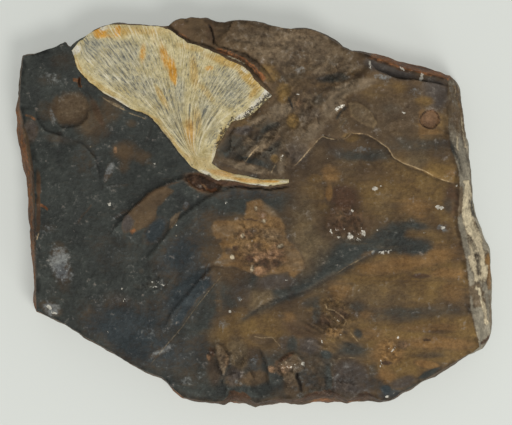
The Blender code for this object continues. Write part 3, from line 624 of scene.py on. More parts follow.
# Painted light and shade: a place standing proud of its neighbours is drawn lighter and a hollow darker, at
# two sizes
worn = (height - levelled(height, 6)) / EDGE_SHADE_RELIEF + (height - levelled(height, 60)) / PLACE_SHADE_RELIEF
print("leaf bed is", LEAF_BED / MM, "mm deep; chipped rim lowered by up to", CHIP_DROP / MM, "mm")

# %% [markdown]
# The walls
#
# The sides are broken across the beds, so they show them as layers: each bed stands out or is worn back
# a little. The wall is a stack of rings below the rim. Nine of them stand where the solid has its own
# levels, and the rings between are blended from those and then roughened, more along a bed than across
# it, which gives the look of splintered slate.

# %% Wall levels
WALL = [
    (0.0, 0.0, 0.0), (0.22, 0.06, 0.0), (0.52, 0.24, -0.2 * MM), (0.60, 0.29, 0.6 * MM),
    (0.88, 0.50, 0.0), (0.94, 0.55, 0.7 * MM), (1.0, 0.80, 0.1 * MM), (0.96, 0.92, 0.3 * MM),
    (0.92, 1.0, 1.9 * MM),
]
WALL_ROUGHNESS = 0.45 * MM
SPLINTER, LAMINA, SAG = 0.30 * MM, 0.14 * MM, 0.25 * MM
RINGS = np.array([0.03, 0.06, 0.12, 0.18, 0.24, 0.29, 0.36, 0.43, 0.50, 0.55, 0.63, 0.71, 0.80, 0.87,
                  0.92, 1.0])

rim_points = ring_of(top_points)
rim_xy = rim_points[:, :2]
flare = rim_ring[:, 2] * UNIT
flare = sum(np.roll(flare, k) for k in range(-5, 6)) / 11
outward = ring_normals(rim_ring[:, :2], 12) * (1, -1)
levels = []
for number, (share, down, back) in enumerate(WALL):
    seed = 20 + max(number - 1, 0) // 2
    rough = WALL_ROUGHNESS * value_noise(rim_xy[:, 0], rim_xy[:, 1], 5 * MM, seed) * min(1, share * 2)
    levels.append(flare * share + rough - back)
levels = np.array(levels)
depths = [down for _, down, _ in WALL]
print(len(levels), "levels of", levels.shape[1], "points")

# %% Wall rings
around = np.r_[0, np.cumsum(np.hypot(*np.diff(rim_xy, axis=0).T))] / MM
reach = np.stack([[np.interp(t, depths, column) for t in RINGS] for column in levels.T], 1)
layer = np.floor(RINGS * 9)[:, None] + 0 * around[None]
splinters = layered_noise(around[None] + layer * 31.0, layer * 7.0 + RINGS[:, None] * 5, 4.2, 33, 4)
lamina = value_noise(around[None] / 2.2, RINGS[:, None] * 60, 3.0, 37)
fade = smooth(RINGS * 5)[:, None] * smooth((1.02 - RINGS) * 9)[:, None]
reach = reach + (SPLINTER * splinters + LAMINA * lamina) * fade
wall = np.empty((len(RINGS), len(rim_xy), 3))
wall[..., :2] = rim_xy[None] + outward[None] * reach[..., None]
sag = SAG * value_noise(around[None] / 6.0, layer, 1.0, 39) * fade
wall[..., 2] = rim_points[None, :, 2] * (1 - RINGS[:, None]) + sag
print("the wall reaches out by up to", round(float(reach.max() / MM), 2), "mm")

# %% [markdown]
# The underside
#
# It is seen only when the slab is picked up. It is a bedding plane too, flat in the middle, where the
# slab rests, and hollow by up to a millimetre and a half in a few flake scars that run out at the foot.
# It is four times coarser than the top, so a band of triangles joins it to the wall's last ring.

# %% Underside grid
SCARS = [
    [(-20, 176), (30, 184), (62, 168), (76, 136), (112, 112), (128, 84), (176, 66), (190, 40),
     (196, -20), (-20, -20)],
    [(540, 176), (470, 184), (430, 206), (424, 240), (398, 262), (392, 300), (360, 322),
     (352, 360), (336, 378), (330, 440), (540, 440)],
    [(40, 440), (84, 320), (120, 300), (146, 322), (190, 330), (214, 362), (246, 372), (256, 440)],
    [(318, -20), (330, 40), (352, 72), (392, 84), (420, 110), (470, 120), (540, 96), (540, -20)],
]
SCAR_DEPTH = (0.4 * MM, 1.6 * MM)
COARSE = 4
UNDER_SHRINK = 0.985  # the grid's own rim lies just inside the foot, with the band between them


def underside_lift(xy):
    """Height of the underside: in a scar, a depth from noise; in the flat middle, nothing."""
    u, v = trace(xy)
    bu, bv = swayed(u, v, 5, 26.0, 95, 97)
    inside = np.maximum.reduce([smooth(loop_distance(bu, bv, scar) / 5 + 0.5) for scar in SCARS])
    rough = 0.5 + 0.5 * value_noise(xy[..., 0], xy[..., 1], 13 * MM, 31)
    return inside * (SCAR_DEPTH[0] + (SCAR_DEPTH[1] - SCAR_DEPTH[0]) * rough)


wall[-1, :, 2] = underside_lift(wall[-1, :, :2])
foot = wall[-1, ::COARSE, :2]
columns, rows = (COLUMNS - 1) // COARSE, (ROWS - 1) // COARSE
shrink = foot.mean(0) + (foot - foot.mean(0)) * UNDER_SHRINK
under_grid = coons(
    shrink[: columns + 1], shrink[columns + rows: 2 * columns + rows + 1][::-1],
    np.r_[shrink[2 * columns + rows:], shrink[:1]][::-1], shrink[columns: columns + rows + 1])
under_points = np.concatenate([under_grid, underside_lift(under_grid)[..., None]], -1)
print("underside grid:", under_grid.shape[:2])

# %% [markdown]
# Sewing the stone together
#
# Every piece is a block of numbered points, so the faces are arithmetic on those numbers: a quad for
# each square of a grid, a quad between each pair of neighbours on two rings, and triangles where the
# fine foot meets the coarse underside.


# %% Faces of the stone
def grid_faces(rows, columns, start):
    """Quads of a grid whose points are numbered row by row from start, facing up."""
    k = start + np.arange((rows - 1) * columns).reshape(rows - 1, columns)[:, :-1].ravel()
    return np.stack([k, k + columns, k + columns + 1, k + 1], -1)


def grid_ring(rows, columns, start):
    """Numbers of a grid's boundary points, clockwise from the first."""
    return ring_of(start + np.arange(rows * columns).reshape(rows, columns))


def band_faces(upper, lower):
    """Quads between two clockwise rings of the same count, facing out."""
    return np.stack([upper, np.roll(upper, -1), np.roll(lower, -1), lower], -1)


def sewn_band(fine, coarse):
    """Triangles between a ring and one with a quarter as many points, facing out."""
    f = fine.reshape(-1, COARSE)
    after = np.roll(f[:, 0], -1)
    c, c_after = coarse, np.roll(coarse, -1)
    return np.concatenate([
        np.stack([f[:, 0], f[:, 1], c], -1), np.stack([f[:, 1], f[:, 2], c], -1),
        np.stack([f[:, 2], c_after, c], -1), np.stack([f[:, 2], f[:, 3], c_after], -1),
        np.stack([f[:, 3], after, c_after], -1)])


points = np.concatenate([top_points.reshape(-1, 3), wall.reshape(-1, 3), under_points.reshape(-1, 3)])
wall_start = ROWS * COLUMNS
under_start = wall_start + wall[..., 0].size
rings = [grid_ring(ROWS, COLUMNS, 0)]
rings += [wall_start + k * len(rim_xy) + np.arange(len(rim_xy)) for k in range(len(RINGS))]
quads = [grid_faces(ROWS, COLUMNS, 0)]
quads += [band_faces(rings[k], rings[k + 1]) for k in range(len(RINGS))]
quads.append(grid_faces(rows + 1, columns + 1, under_start)[:, ::-1])
triangles = sewn_band(rings[-1], grid_ring(rows + 1, columns + 1, under_start))
quads = np.concatenate(quads)
print(len(points), "points,", 2 * len(quads) + len(triangles), "triangles")


# %% A mesh from arrays
def put_in_scene(name, data):
    """A new object at the origin."""
    made = bpy.data.objects.new(name, data)
    bpy.context.scene.collection.objects.link(made)
    return made


def build_mesh(name, points, faces, sharp_degrees, attributes):
    """A smooth mesh with one float attribute for each named mask."""
    mesh = bpy.data.meshes.new(name)
    mesh.from_pydata(points.tolist(), [], faces)
    mesh.shade_smooth()
    mesh.set_sharp_from_angle(angle=math.radians(sharp_degrees))
    for label, values in attributes.items():
        layer = mesh.attributes.new(label, "FLOAT", "POINT")
        layer.data.foreach_set("value", np.clip(values, -9, 9).astype(np.float32).ravel())
    return put_in_scene(name, mesh)


# %% [markdown]
# Stains, laid one over the other
#
# The stone's colours come from iron and from calcite: grey where the mudstone is fresh, ochre and
# umber where iron has soaked it, rust on old broken edges, cream and white where calcite sits on it.
# Each colour has a field, a number from 0 to 1 at every point of the mesh, and the material mixes the
# colours by those fields. The stains are laid in order, as a painter would: each pulls its own field
# up and all the others down, so the last one is on top. The stain "clean" has no field of its own, so
# it rubs a place back to the plain brown of the stone.

# %% Tools for stains
FADE = 1.4  # how much wider than traced a stain's edge fades, for all but the small marks
SMALL_MARK, MOST_SWAY = 3, 16
SWAY = 0.38  # of an oval's smaller half width
STAIN_NAMES = ("slate", "blue", "plum", "olive", "sand", "ochre", "amber", "umber", "peach", "bloom_and_sheen",
               "marl", "cream", "rust")


def bending(u, v):
    """Two fields of layered noise that sway the outlines of stains."""
    return layered_noise(u, v, 20.0, 101, 4), layered_noise(u, v, 20.0, 103, 4)


def oval(u, v, bend, cu, cv, half_u, half_v, cover, soft=0.9, turn=0):
    """Its cover inside, half of it on the outline, 0 outside. The outline sways as much as suits the
    oval's size."""
    sway = SWAY * min(half_u, half_v, MOST_SWAY)
    fade = soft * (FADE if min(half_u, half_v) > SMALL_MARK else 1.0)
    along, across = turned(u - cu + sway * bend[0], v - cv + sway * bend[1], turn)
    return cover * smooth((1 - np.hypot(along / half_u, across / half_v)) / fade + 0.5)


def lay(fields, name, cover):
    """One stain soaks in over the others: its own field rises towards 1 and the others fade."""
    for other in fields:
        fields[other] += ((other == name) - fields[other]) * cover


def streak(u, v, line, width, soft=1.2):
    """1 on a line, 0 past its half width, with tapered ends."""
    away, share = line_distance(u, v, line)
    return tapered(share, 7) * smooth((width / 2 - np.abs(away)) / soft + 0.5)


def region(u, v, outline, soft=2.0):
    """1 inside an outline and 0 outside, over a soft edge of that many units."""
    return smooth(loop_distance(u, v, outline) / soft + 0.5)


print(len(STAIN_NAMES), "colours of stone")

# %% [markdown]
# The ground colours
#
# A spot is an oval: u, v, half length, half width and cover, then how soft its edge is, as a share of
# its radius, and its turn in degrees. Those two are left out where they are 0.9 and 0. Slate covers the
# left half, iron has soaked the right half in level bands, and a band of slate slants across it.

# %% Large stains
GROUND = [
    ("slate", [
        (50, 90, 62, 62, 1, 0.5), (96, 205, 116, 160, 1, 0.35), (136, 322, 92, 76, 1, 0.4, 16),
        (236, 200, 54, 15, 0.9, 0.6, 4), (262, 152, 30, 26, 0.7, 0.8, -20),
        (336, 262, 42, 22, 0.6, 0.9, -30), (306, 252, 36, 40, 0.65, 0.9, -40),
        (256, 290, 42, 17, 0.8, 0.6, -8), (322, 372, 66, 30, 0.75, 0.6), (240, 376, 40, 30, 0.7, 0.7),
        (206, 388, 36, 14, 0.8, 0.7, 8), (410, 384, 34, 8, 0.8, 0.6, -32)]),
    ("ochre", [
        (410, 190, 76, 44, 0.68, 0.7), (404, 270, 84, 36, 0.8, 0.6, -2), (426, 338, 70, 26, 0.9, 0.6, -4),
        (396, 362, 34, 24, 0.9, 0.6, -16), (330, 292, 30, 14, 0.6, 0.7, -26),
        (250, 330, 42, 22, 0.7, 0.7, -8), (384, 92, 26, 12, 0.6, 0.8, 4), (432, 126, 18, 18, 0.7, 0.8),
        (312, 206, 18, 26, 0.5), (346, 330, 34, 26, 0.35), (300, 234, 10, 12, 0.5),
        (330, 346, 14, 8, 0.5, 0.8)]),
    ("olive", [
        (314, 250, 24, 34, 0.8, 0.8, -20), (300, 205, 14, 14, 0.6), (372, 294, 44, 14, 0.5, 0.8),
        (386, 210, 14, 16, 0.4), (352, 166, 40, 14, 0.4), (300, 52, 46, 34, 0.4, 0.9, 10),
        (416, 160, 14, 9, 0.7, 0.8), (318, 286, 16, 8, 0.5, 0.9, -30), (259, 300, 14, 13, 0.7, 0.6),
        (352, 360, 20, 8, 0.5), (238, 352, 11, 18, 0.7, 0.7), (340, 60, 16, 10, 0.3)]),
    ("blue", [
        (180, 256, 27, 19, 0.8, 0.9, -40), (190, 288, 12, 30, 0.9, 0.7, 40), (156, 230, 8, 14, 1, 0.7, 40),
        (192, 350, 26, 16, 0.5), (140, 346, 44, 18, 0.8, 0.9, 26), (172, 308, 30, 20, 0.5, 0.9, -40),
        (122, 322, 38, 22, 0.8, 0.8, 10), (116, 250, 26, 18, 0.25), (250, 194, 44, 5, 0.6, 0.8),
        (206, 220, 16, 12, 0.4, 0.9, -30), (86, 160, 16, 20, 0.3)]),
    ("clean", [
        (70, 109, 18, 16, 0.85, 0.5), (45, 112, 9, 9, 0.35), (94, 124, 18, 17, 0.6, 0.8, 10),
        (112, 106, 10, 13, 0.5, 0.8, -20), (132, 123, 7, 4, 0.5, 0.8), (126, 150, 13, 10, 0.8),
        (144, 158, 9, 7, 0.6, 0.9, 10), (124, 166, 6, 8, 0.6, 0.9, 10), (66, 60, 14, 10, 0.35),
        (58, 290, 12, 16, 0.2)]),
]
print(sum(len(spots) for _, spots in GROUND), "large stains")

# %% [markdown]
# The slanting band of slate and the marks
#
# The marks are smaller and lie on top of the ground. They come colour by colour, first those of the
# upper half of the slab and then those of the lower half.

# %% Marks, upper half
MARKS_ABOVE = [
    ("umber", [
        (97, 112, 3.6, 16, 0.5, 0.7, -25), (202, 183, 17, 7.5, 1, 0.7, 18), (182, 30, 12, 10, 0.3, 0.8, 30),
        (301, 105, 10, 11, 0.5, 0.8), (344, 197, 18, 12, 0.8, 0.7, 8), (346, 223, 26, 15, 0.6, 1),
        (400, 118, 14, 12, 0.35), (452, 200, 8, 16, 0.6, 0.7), (457, 254, 8, 13, 0.45, 0.8),
        (392, 92, 18, 7, 0.35, 0.9, 6), (330, 165, 60, 4, 0.25, 0.9, 4), (212, 34, 5, 14, 0.5, 0.8, -8),
        (262, 70, 24, 9, 0.4, 0.8, 34), (374, 176, 26, 6, 0.3, 0.9, 2)]),
    ("plum", [
        (31, 131, 7, 11, 0.7, 0.8), (58, 139, 15, 5, 0.3, 0.8, 10), (127, 223, 5.5, 9, 0.9, 0.5, 10),
        (390, 69, 28, 8, 1, 0.5, 17), (434, 92, 15, 18, 0.9, 0.7), (412, 92, 8, 7, 0.5, 0.8),
        (243, 130, 10, 5, 0.8, 0.6, -6), (310, 115, 11, 8, 0.7, 0.7, -30),
        (298, 152, 14, 12, 0.8, 0.6, -40), (440, 150, 12, 10, 0.4), (338, 152, 12, 7, 0.6, 0.8),
        (240, 166, 28, 4.5, 0.6, 0.7, 14), (312, 214, 12, 8, 0.25)]),
    ("slate", [
        (334, 77, 15, 5, 0.75, 0.7, -6), (318, 101, 6, 7, 0.6, 0.7), (231, 148, 17, 11, 0.55, 0.7, -52),
        (252, 161, 12, 3, 0.6, 0.7, 14), (261, 121, 10, 6, 0.6, 0.6, -14), (391, 108, 10, 7, 0.6, 0.8),
        (414, 145, 34, 9, 0.6, 1, 2), (362, 155, 30, 7, 0.7, 0.8, 4), (269, 128, 10, 3.6, 1, 0.5, -26),
        (275, 147, 8, 4, 0.8, 0.6, -40), (343, 122, 6, 3, 0.6, 0.7, -40), (276, 76, 14, 4, 0.6, 0.8, 24),
        (448, 206, 5, 8, 0.5, 0.8), (287, 198, 12, 8, 0.4, 0.8, 30), (300, 76, 18, 3, 0.4, 0.8, 4)]),
    ("sand", [
        (72, 108, 17, 15, 0.42, 0.7), (396, 112, 44, 34, 0.36, 1), (300, 130, 40, 34, 0.38, 1, -40),
        (352, 86, 24, 6, 0.9, 0.6, -16), (333, 103, 8, 16, 0.9, 0.6, 32), (314, 131, 12, 6, 0.8, 0.6, -50),
        (286, 46, 62, 24, 0.56, 0.9, 8), (352, 68, 12, 4, 0.6, 0.7, -6), (282, 164, 4.5, 9, 0.8, 0.6, 8),
        (320, 71, 8, 4, 0.6, 0.6, -20), (246, 167, 26, 3.6, 0.85, 0.7, 14),
        (264, 143, 18, 4.4, 0.75, 0.7, -46), (282, 110, 14, 8, 0.8, 0.8, -20),
        (258, 120, 8, 4, 0.6, 0.8, -14)]),
    ("ochre", [
        (293, 121, 7, 7, 0.9, 0.6), (275, 159, 4, 4, 0.8, 0.7), (284, 92, 7, 11, 0.8, 0.8, -10),
        (356, 72, 10, 3, 0.3, 0.9, -10), (350, 137, 8, 5, 0.8, 0.6), (440, 171, 14, 6, 0.8, 0.8, 12),
        (316, 178, 8, 4, 0.6, 0.8), (424, 101, 9, 5, 0.7, 0.8), (400, 88, 8, 5, 0.5),
        (270, 74, 8, 10, 0.7, 0.7, -40)]),
    ("amber", [
        (330, 173, 10, 9, 0.7), (416, 208, 18, 10, 0.55), (329, 193, 4, 9, 0.7, 0.6),
        (422, 122, 4, 14, 0.5, 0.8), (431, 132, 12, 4, 0.5, 0.8), (451, 173, 7, 3, 0.5, 0.8, 10)]),
    # A pale grey bloom of calcite; the two spots at (110, 170) and (106, 178), left of the leaf's base, are
    # a painted highlight, a bluish sheen on the slate
    ("bloom_and_sheen", [
        (110, 170, 3.4, 8, 0.6, 0.9, 16), (106, 178, 2, 5, 0.6, 0.9, 10), (52, 116, 2.6, 10, 0.4, 0.9, -8),
        (361, 150, 9, 3, 0.5), (382, 77, 9, 3, 0.5, 0.9, 8), (414, 92, 5, 5, 0.4),
        (61, 264, 9, 19, 0.68, 0.9, -8), (48, 228, 9, 5, 0.3), (118, 186, 12, 1.6, 0.3, 0.9, -6),
        (50, 80, 14, 7, 0.25), (186, 206, 3, 5, 0.5, 0.9, 20), (300, 60, 10, 12, 0.2)]),
]
print(sum(len(spots) for _, spots in MARKS_ABOVE), "marks above")

# %% Marks, lower half
MARKS_BELOW = [
    ("amber", [
        (450, 274, 20, 6, 0.7, 0.8), (338, 290, 12, 9, 0.55), (454, 293, 13, 11, 0.5),
        (290, 318, 7, 7, 0.6), (366, 314, 8, 5, 0.6), (384, 377, 12, 8, 0.75, 0.7, -8),
        (427, 364, 12, 4, 0.9, 0.4, 10), (440, 343, 34, 7, 0.8, 0.7), (430, 254, 30, 10, 0.7, 0.8, -4),
        (392, 266, 38, 8, 0.7, 0.8, -6), (388, 352, 18, 12, 0.8, 0.8, -20), (333, 332, 9, 5, 0.6, 0.7),
        (372, 334, 14, 6, 0.5, 0.7), (430, 328, 40, 4, 0.5, 0.8, -2), (219, 304, 4, 16, 0.25, 0.9, -6)]),
    ("umber", [
        (410, 281, 48, 1, 0.3), (421, 276, 10, 2.4, 0.6, 0.7), (300, 330, 22, 12, 0.4, 0.8, 20),
        (324, 320, 8, 6, 0.5, 0.8, 20), (340, 314, 9, 5, 0.5, 0.7, 40), (402, 345, 6, 4, 0.4, 0.8),
        (386, 363, 6, 2, 0.7, 0.6), (440, 332, 14, 2, 0.4, 0.8), (427, 340, 4, 1.2, 0.7, 0.6),
        (256, 381, 15, 7, 0.3, 0.7, -6), (214, 374, 8, 12, 0.4, 0.8), (384, 251, 9, 2.6, 0.7, 0.6, -4)]),
    ("plum", [
        (276, 282, 18, 8, 0.7, 0.6, -4), (234, 378, 9, 9, 0.8, 0.7), (308, 346, 13, 9, 0.7, 0.7),
        (240, 290, 12, 12, 0.4, 0.8), (402, 382, 14, 6, 0.7, 0.6, -20), (350, 380, 26, 16, 0.85, 0.6),
        (118, 300, 16, 8, 0.2, 0.9, 20), (284, 342, 8, 7, 0.5, 0.7), (296, 206, 8, 6, 0.3)]),
    ("slate", [
        (396, 314, 28, 9, 0.5, 1), (436, 312, 36, 8, 0.42, 1), (334, 262, 34, 18, 0.6, 0.9, -34),
        (429, 355, 18, 3.4, 0.5, 0.9, -2), (352, 350, 18, 8, 0.6, 0.8, 10), (357, 333, 5, 4, 0.7, 0.6, 40),
        (326, 354, 6, 4, 0.8, 0.6, 20), (329, 380, 4, 14, 0.9, 0.6), (255, 388, 16, 8, 0.8, 0.6),
        (317, 312, 5, 12, 0.6, 0.7), (292, 345, 6, 8, 0.7, 0.7), (356, 306, 10, 6, 0.6, 0.8),
        (270, 378, 3, 13, 0.7, 0.6), (428, 373, 12, 2.6, 0.8, 0.6, -26), (373, 372, 5, 10, 0.5, 0.8),
        (310, 302, 10, 5, 0.5, 0.8, -30)]),
]
LAST_MARKS = [
    ("blue", [
        (308, 381, 11, 11, 0.55, 0.8), (386, 389, 5, 4, 1, 0.6), (255, 362, 8, 11, 0.6, 0.7),
        (390, 394, 14, 4, 0.7, 0.6, -14), (376, 384, 14, 7, 0.5, 0.8, 10)]),
    ("clean", [
        (262, 340, 14, 5, 0.8, 0.6, 10), (255, 379, 14, 7, 0.9, 0.6, -8), (312, 364, 10, 8, 0.5, 0.8),
        (212, 357, 4, 8, 0.5, 0.7)]),
    ("marl", [
        (151, 285, 7, 4, 0.22, 0.9, -20), (137, 286, 5, 3, 0.2), (141, 271, 3, 3, 0.25)]),
    ("bloom_and_sheen", [
        (50, 308, 11, 6, 0.7, 0.9, 25), (240, 298, 4, 6, 0.3), (222, 322, 8, 5, 0.3),
        (214, 264, 13, 2.5, 0.4, 0.9, -12), (160, 352, 12, 3, 0.5, 0.9, -28), (150, 332, 14, 5, 0.15),
        (256, 358, 7, 6, 0.35), (442, 228, 7, 4, 0.45), (190, 378, 16, 8, 0.2), (300, 388, 12, 8, 0.3),
        (368, 254, 8, 3, 0.5, 0.9, -20), (238, 383, 5, 3, 0.5, 0.9, 30), (346, 378, 24, 14, 0.14, 0.9, -6),
        (205, 276, 6, 3, 0.4, 0.9, -40)]),
]
print(sum(len(spots) for _, spots in MARKS_BELOW + LAST_MARKS), "marks below")

# %% [markdown]
# Beds and lumps with hard edges
#
# Where a thin bed has come away or a lump stands out, the colour changes along a line. The ochre patch
# in the middle is such a lump: smooth and tan round its edge, broken into peach crumbs in the middle.

# %% Outlined stains
SLANTING_SLATE = [
    (236, 322), (250, 312), (272, 302), (290, 292), (300, 284), (314, 276), (326, 264), (334, 252),
    (343, 245), (356, 243), (368, 237), (378, 228), (390, 222), (404, 219), (418, 219), (428, 223),
    (434, 228), (424, 231), (408, 231), (406, 236), (420, 238), (432, 240), (433, 248), (424, 256),
    (412, 257), (402, 253), (391, 254), (380, 255), (370, 257), (357, 262), (345, 268), (332, 273),
    (318, 283), (304, 292), (286, 300), (262, 310), (244, 321),
]
OCHRE_PATCH = [
    (211, 228), (214, 222), (222, 220), (235, 220), (244, 217), (247, 209), (247, 202), (254, 200),
    (260, 199.5), (267, 206), (273, 212), (280, 219), (286, 226), (284, 233), (288, 240), (295, 245),
    (299, 252), (303, 260), (305, 267), (300, 272), (294, 278), (290, 276), (288, 272), (270, 274),
    (262, 277), (256, 274), (247, 272), (236, 268), (222, 266), (212, 266), (216, 261), (221, 256),
    (222, 250), (219, 244), (222, 239), (216, 238), (213, 233),
]
OUTLINED = [  # colour, cover, softness, outline
    ("slate", 0.85, 13, SLANTING_SLATE),
    ("sand", 0.95, 4, OCHRE_PATCH),
    ("amber", 0.6, 4, OCHRE_PATCH),
    ("clean", 0.9, 2.4, [(128, 212), (142, 199), (154, 188.5), (166, 186.5), (175, 191), (166, 199),
        (158, 207), (155, 217), (146, 227), (136, 232), (131, 232), (134, 221), (129, 217)]),
    ("sand", 0.8, 2.4, [(168, 229), (170, 219), (175, 213.5), (181, 212), (178, 219), (172, 227)]),
    ("olive", 0.6, 1.8, PATCHES["olive_flake"]["outline"]),
    ("sand", 0.6, 2.4, [(216, 344), (223, 347), (228.2, 357), (227, 367), (223.7, 375.2), (219.5, 367),
        (216.9, 359)]),
    ("sand", 0.4, 4, [(279.3, 366), (283, 358.2), (289.5, 354.4), (296, 356), (302, 362), (303, 369),
        (296, 374), (298, 386), (299, 398), (286, 396), (283, 376)]),
]
PATCH_MARKS = [
    ("sand", [
        (224, 230, 10, 7, 0.3), (271, 234, 13, 6, 0.3), (294, 258, 8, 13, 0.3, 0.9, -20),
        (270, 210, 11, 3.5, 0.4, 0.9, 45), (222, 262, 14, 3, 0.4, 0.9, -8),
        (362, 114, 10, 6, 0.35, 0.8, 45)]),
    ("peach", [
        (246, 234, 9, 4.5, 0.5), (262, 215, 4.5, 8, 0.4, 0.9, -30), (266, 260, 18, 10, 0.6),
        (261, 271, 7, 5, 0.7, 0.8), (277, 249, 8, 9, 0.4), (251, 250, 12, 9, 0.3),
        (272, 369, 4, 4, 0.5, 0.7), (284, 368, 8, 6, 0.45, 0.7), (288, 384, 6, 12, 0.2, 0.8),
        (209.5, 358, 2, 4, 0.7, 0.7, -20), (115.5, 150, 2, 4, 0.6, 0.8), (226, 360, 3, 8, 0.3, 0.8),
        (340, 216, 5, 5, 0.3), (404, 345, 5, 4, 0.4), (297, 103, 8, 6, 0.25)]),
    ("umber", [
        (250, 258, 4, 3.6, 0.9, 0.7), (263, 262, 6, 3.4, 0.8, 0.8), (275, 263, 5, 4, 0.7, 0.8),
        (257, 245, 5, 3, 0.5, 0.8), (236, 248, 3, 3, 0.6, 0.8), (268, 268, 3, 4, 0.7, 0.8),
        (286, 357, 9, 2.2, 1, 0.6, -32), (277, 364, 2, 4, 0.6, 0.8), (212, 352, 2.4, 5, 0.7, 0.7, -20)]),
    ("plum", [
        (290, 364, 14, 10, 0.35, 0.8), (229, 251, 4, 4, 0.5, 0.8), (254, 231, 4, 2.4, 0.5, 0.8),
        (127, 222, 5, 8, 0.7, 0.6, 14)]),
    ("cream", [
        (232.5, 257, 2.4, 2.6, 0.9, 0.7), (252, 268, 2, 4, 0.5), (256, 208.6, 2, 2.6, 0.5),
        (264, 221, 2, 2.2, 0.5), (243, 235.5, 2.2, 3, 0.5), (280, 246, 4, 2.4, 0.6, 0.8, -20),
        (297, 361, 5.5, 6, 0.16, 0.9, 30), (285, 363, 4, 2, 0.2, 0.8, -30), (222, 356, 4, 8, 0.16),
        (282, 158, 4, 6, 0.25, 0.9, 30)]),
]
print(len(OUTLINED), "outlined stains,", sum(len(spots) for _, spots in PATCH_MARKS), "marks on them")

# %% [markdown]
# Lines of colour
#
# Rust sits in cracks and along broken edges. On the right slope, which is seen from above, the beds
# come out as long strands: cream calcite between grey marl and dark slate, with an ochre outer rim.

# %% Lines on top
LINES = [  # colour, cover, width, points
    ("rust", 1, 4.6, [(214, 48), (222, 51), (232, 55), (243, 60.5), (252, 66), (259, 73), (267, 83)]),
    ("umber", 0.9, 1.6, [(218, 49), (230, 53), (242, 59.5), (251, 65.5), (258, 73), (263, 79)]),
    ("cream", 0.8, 1.6, [(226, 55.5), (238, 60), (246, 64.5)]),
    ("rust", 0.5, 1.6, [(176, 33), (184, 36), (192, 41)]),
    # Umber along the broken pocket is its own dark red-brown; where the line runs on beneath the petiole it
    # is painted shadow
    ("umber", 0.95, 5, [(190, 176), (199, 175.6), (206, 178.6), (216, 183), (228, 184), (240, 185.6),
        (254, 187)]),
    ("plum", 0.5, 1.6, [(222, 186.4), (232, 186), (242, 187.4)]),
    ("rust", 0.6, 1.6, [(186, 178), (191, 183)]),
    ("peach", 0.9, 2.2, [(202.6, 183.6), (205.6, 187), (208.6, 191.4)]),
    ("rust", 1, 2.4, [(206, 188), (211, 190.6), (217, 188.6)]),
    ("rust", 1, 2.8, [(38, 204.5), (44, 207), (47.8, 209.5)]),
    ("rust", 0.9, 2.4, [(80, 76), (79, 82), (80.4, 88)]),
    ("rust", 0.6, 4, [(72, 80), (77, 79.5), (79, 82)]),
    ("rust", 0.5, 3, [(24, 114.5), (30, 116), (36, 120)]),
    ("rust", 0.6, 3.6, [(129, 231.6), (132, 232), (135.4, 229)]),
    ("umber", 0.5, 2, [(130, 211), (140, 203), (151, 194), (166, 186), (184, 179)]),
    ("umber", 0.7, 4, [(37.6, 166), (38.6, 190), (38.4, 205), (37.8, 238)]),
    ("rust", 0.5, 1.8, [(343, 141), (348, 137), (353, 134), (362, 133.6)]),
    ("bloom_and_sheen", 0.8, 1.6, [(130, 211), (120, 214), (112, 219)]),
    ("umber", 0.5, 1.5, [(93, 203), (84, 214), (77, 225)]),
    ("blue", 0.9, 7, [(214, 278), (198, 292), (184, 312), (172, 330)]),
    ("umber", 0.6, 1.4, [(236, 220), (250, 219), (262, 221)]),
    ("olive", 0.6, 2.2, [(349, 116), (343, 122), (334, 130)]),
    ("slate", 0.8, 2, [(347, 105), (341, 112), (335, 120)]),
    ("slate", 0.8, 1.6, [(288, 96), (290, 102), (292, 110)]),
    ("umber", 0.9, 3, [(227, 394), (234, 392), (244, 394), (252, 401)]),
    ("umber", 0.9, 3, [(302, 398), (318, 393), (330, 392), (343, 397)]),
    ("umber", 0.8, 3, [(358, 396), (366, 393.5), (376, 397)]),
    ("rust", 0.9, 4.5, [(364, 54.5), (382, 60), (398, 66), (416, 70), (432, 74), (448, 78)]),
    ("umber", 0.8, 2, [(370, 58), (384, 63), (400, 69), (414, 72.6)]),
]
print(len(LINES), "lines on top")

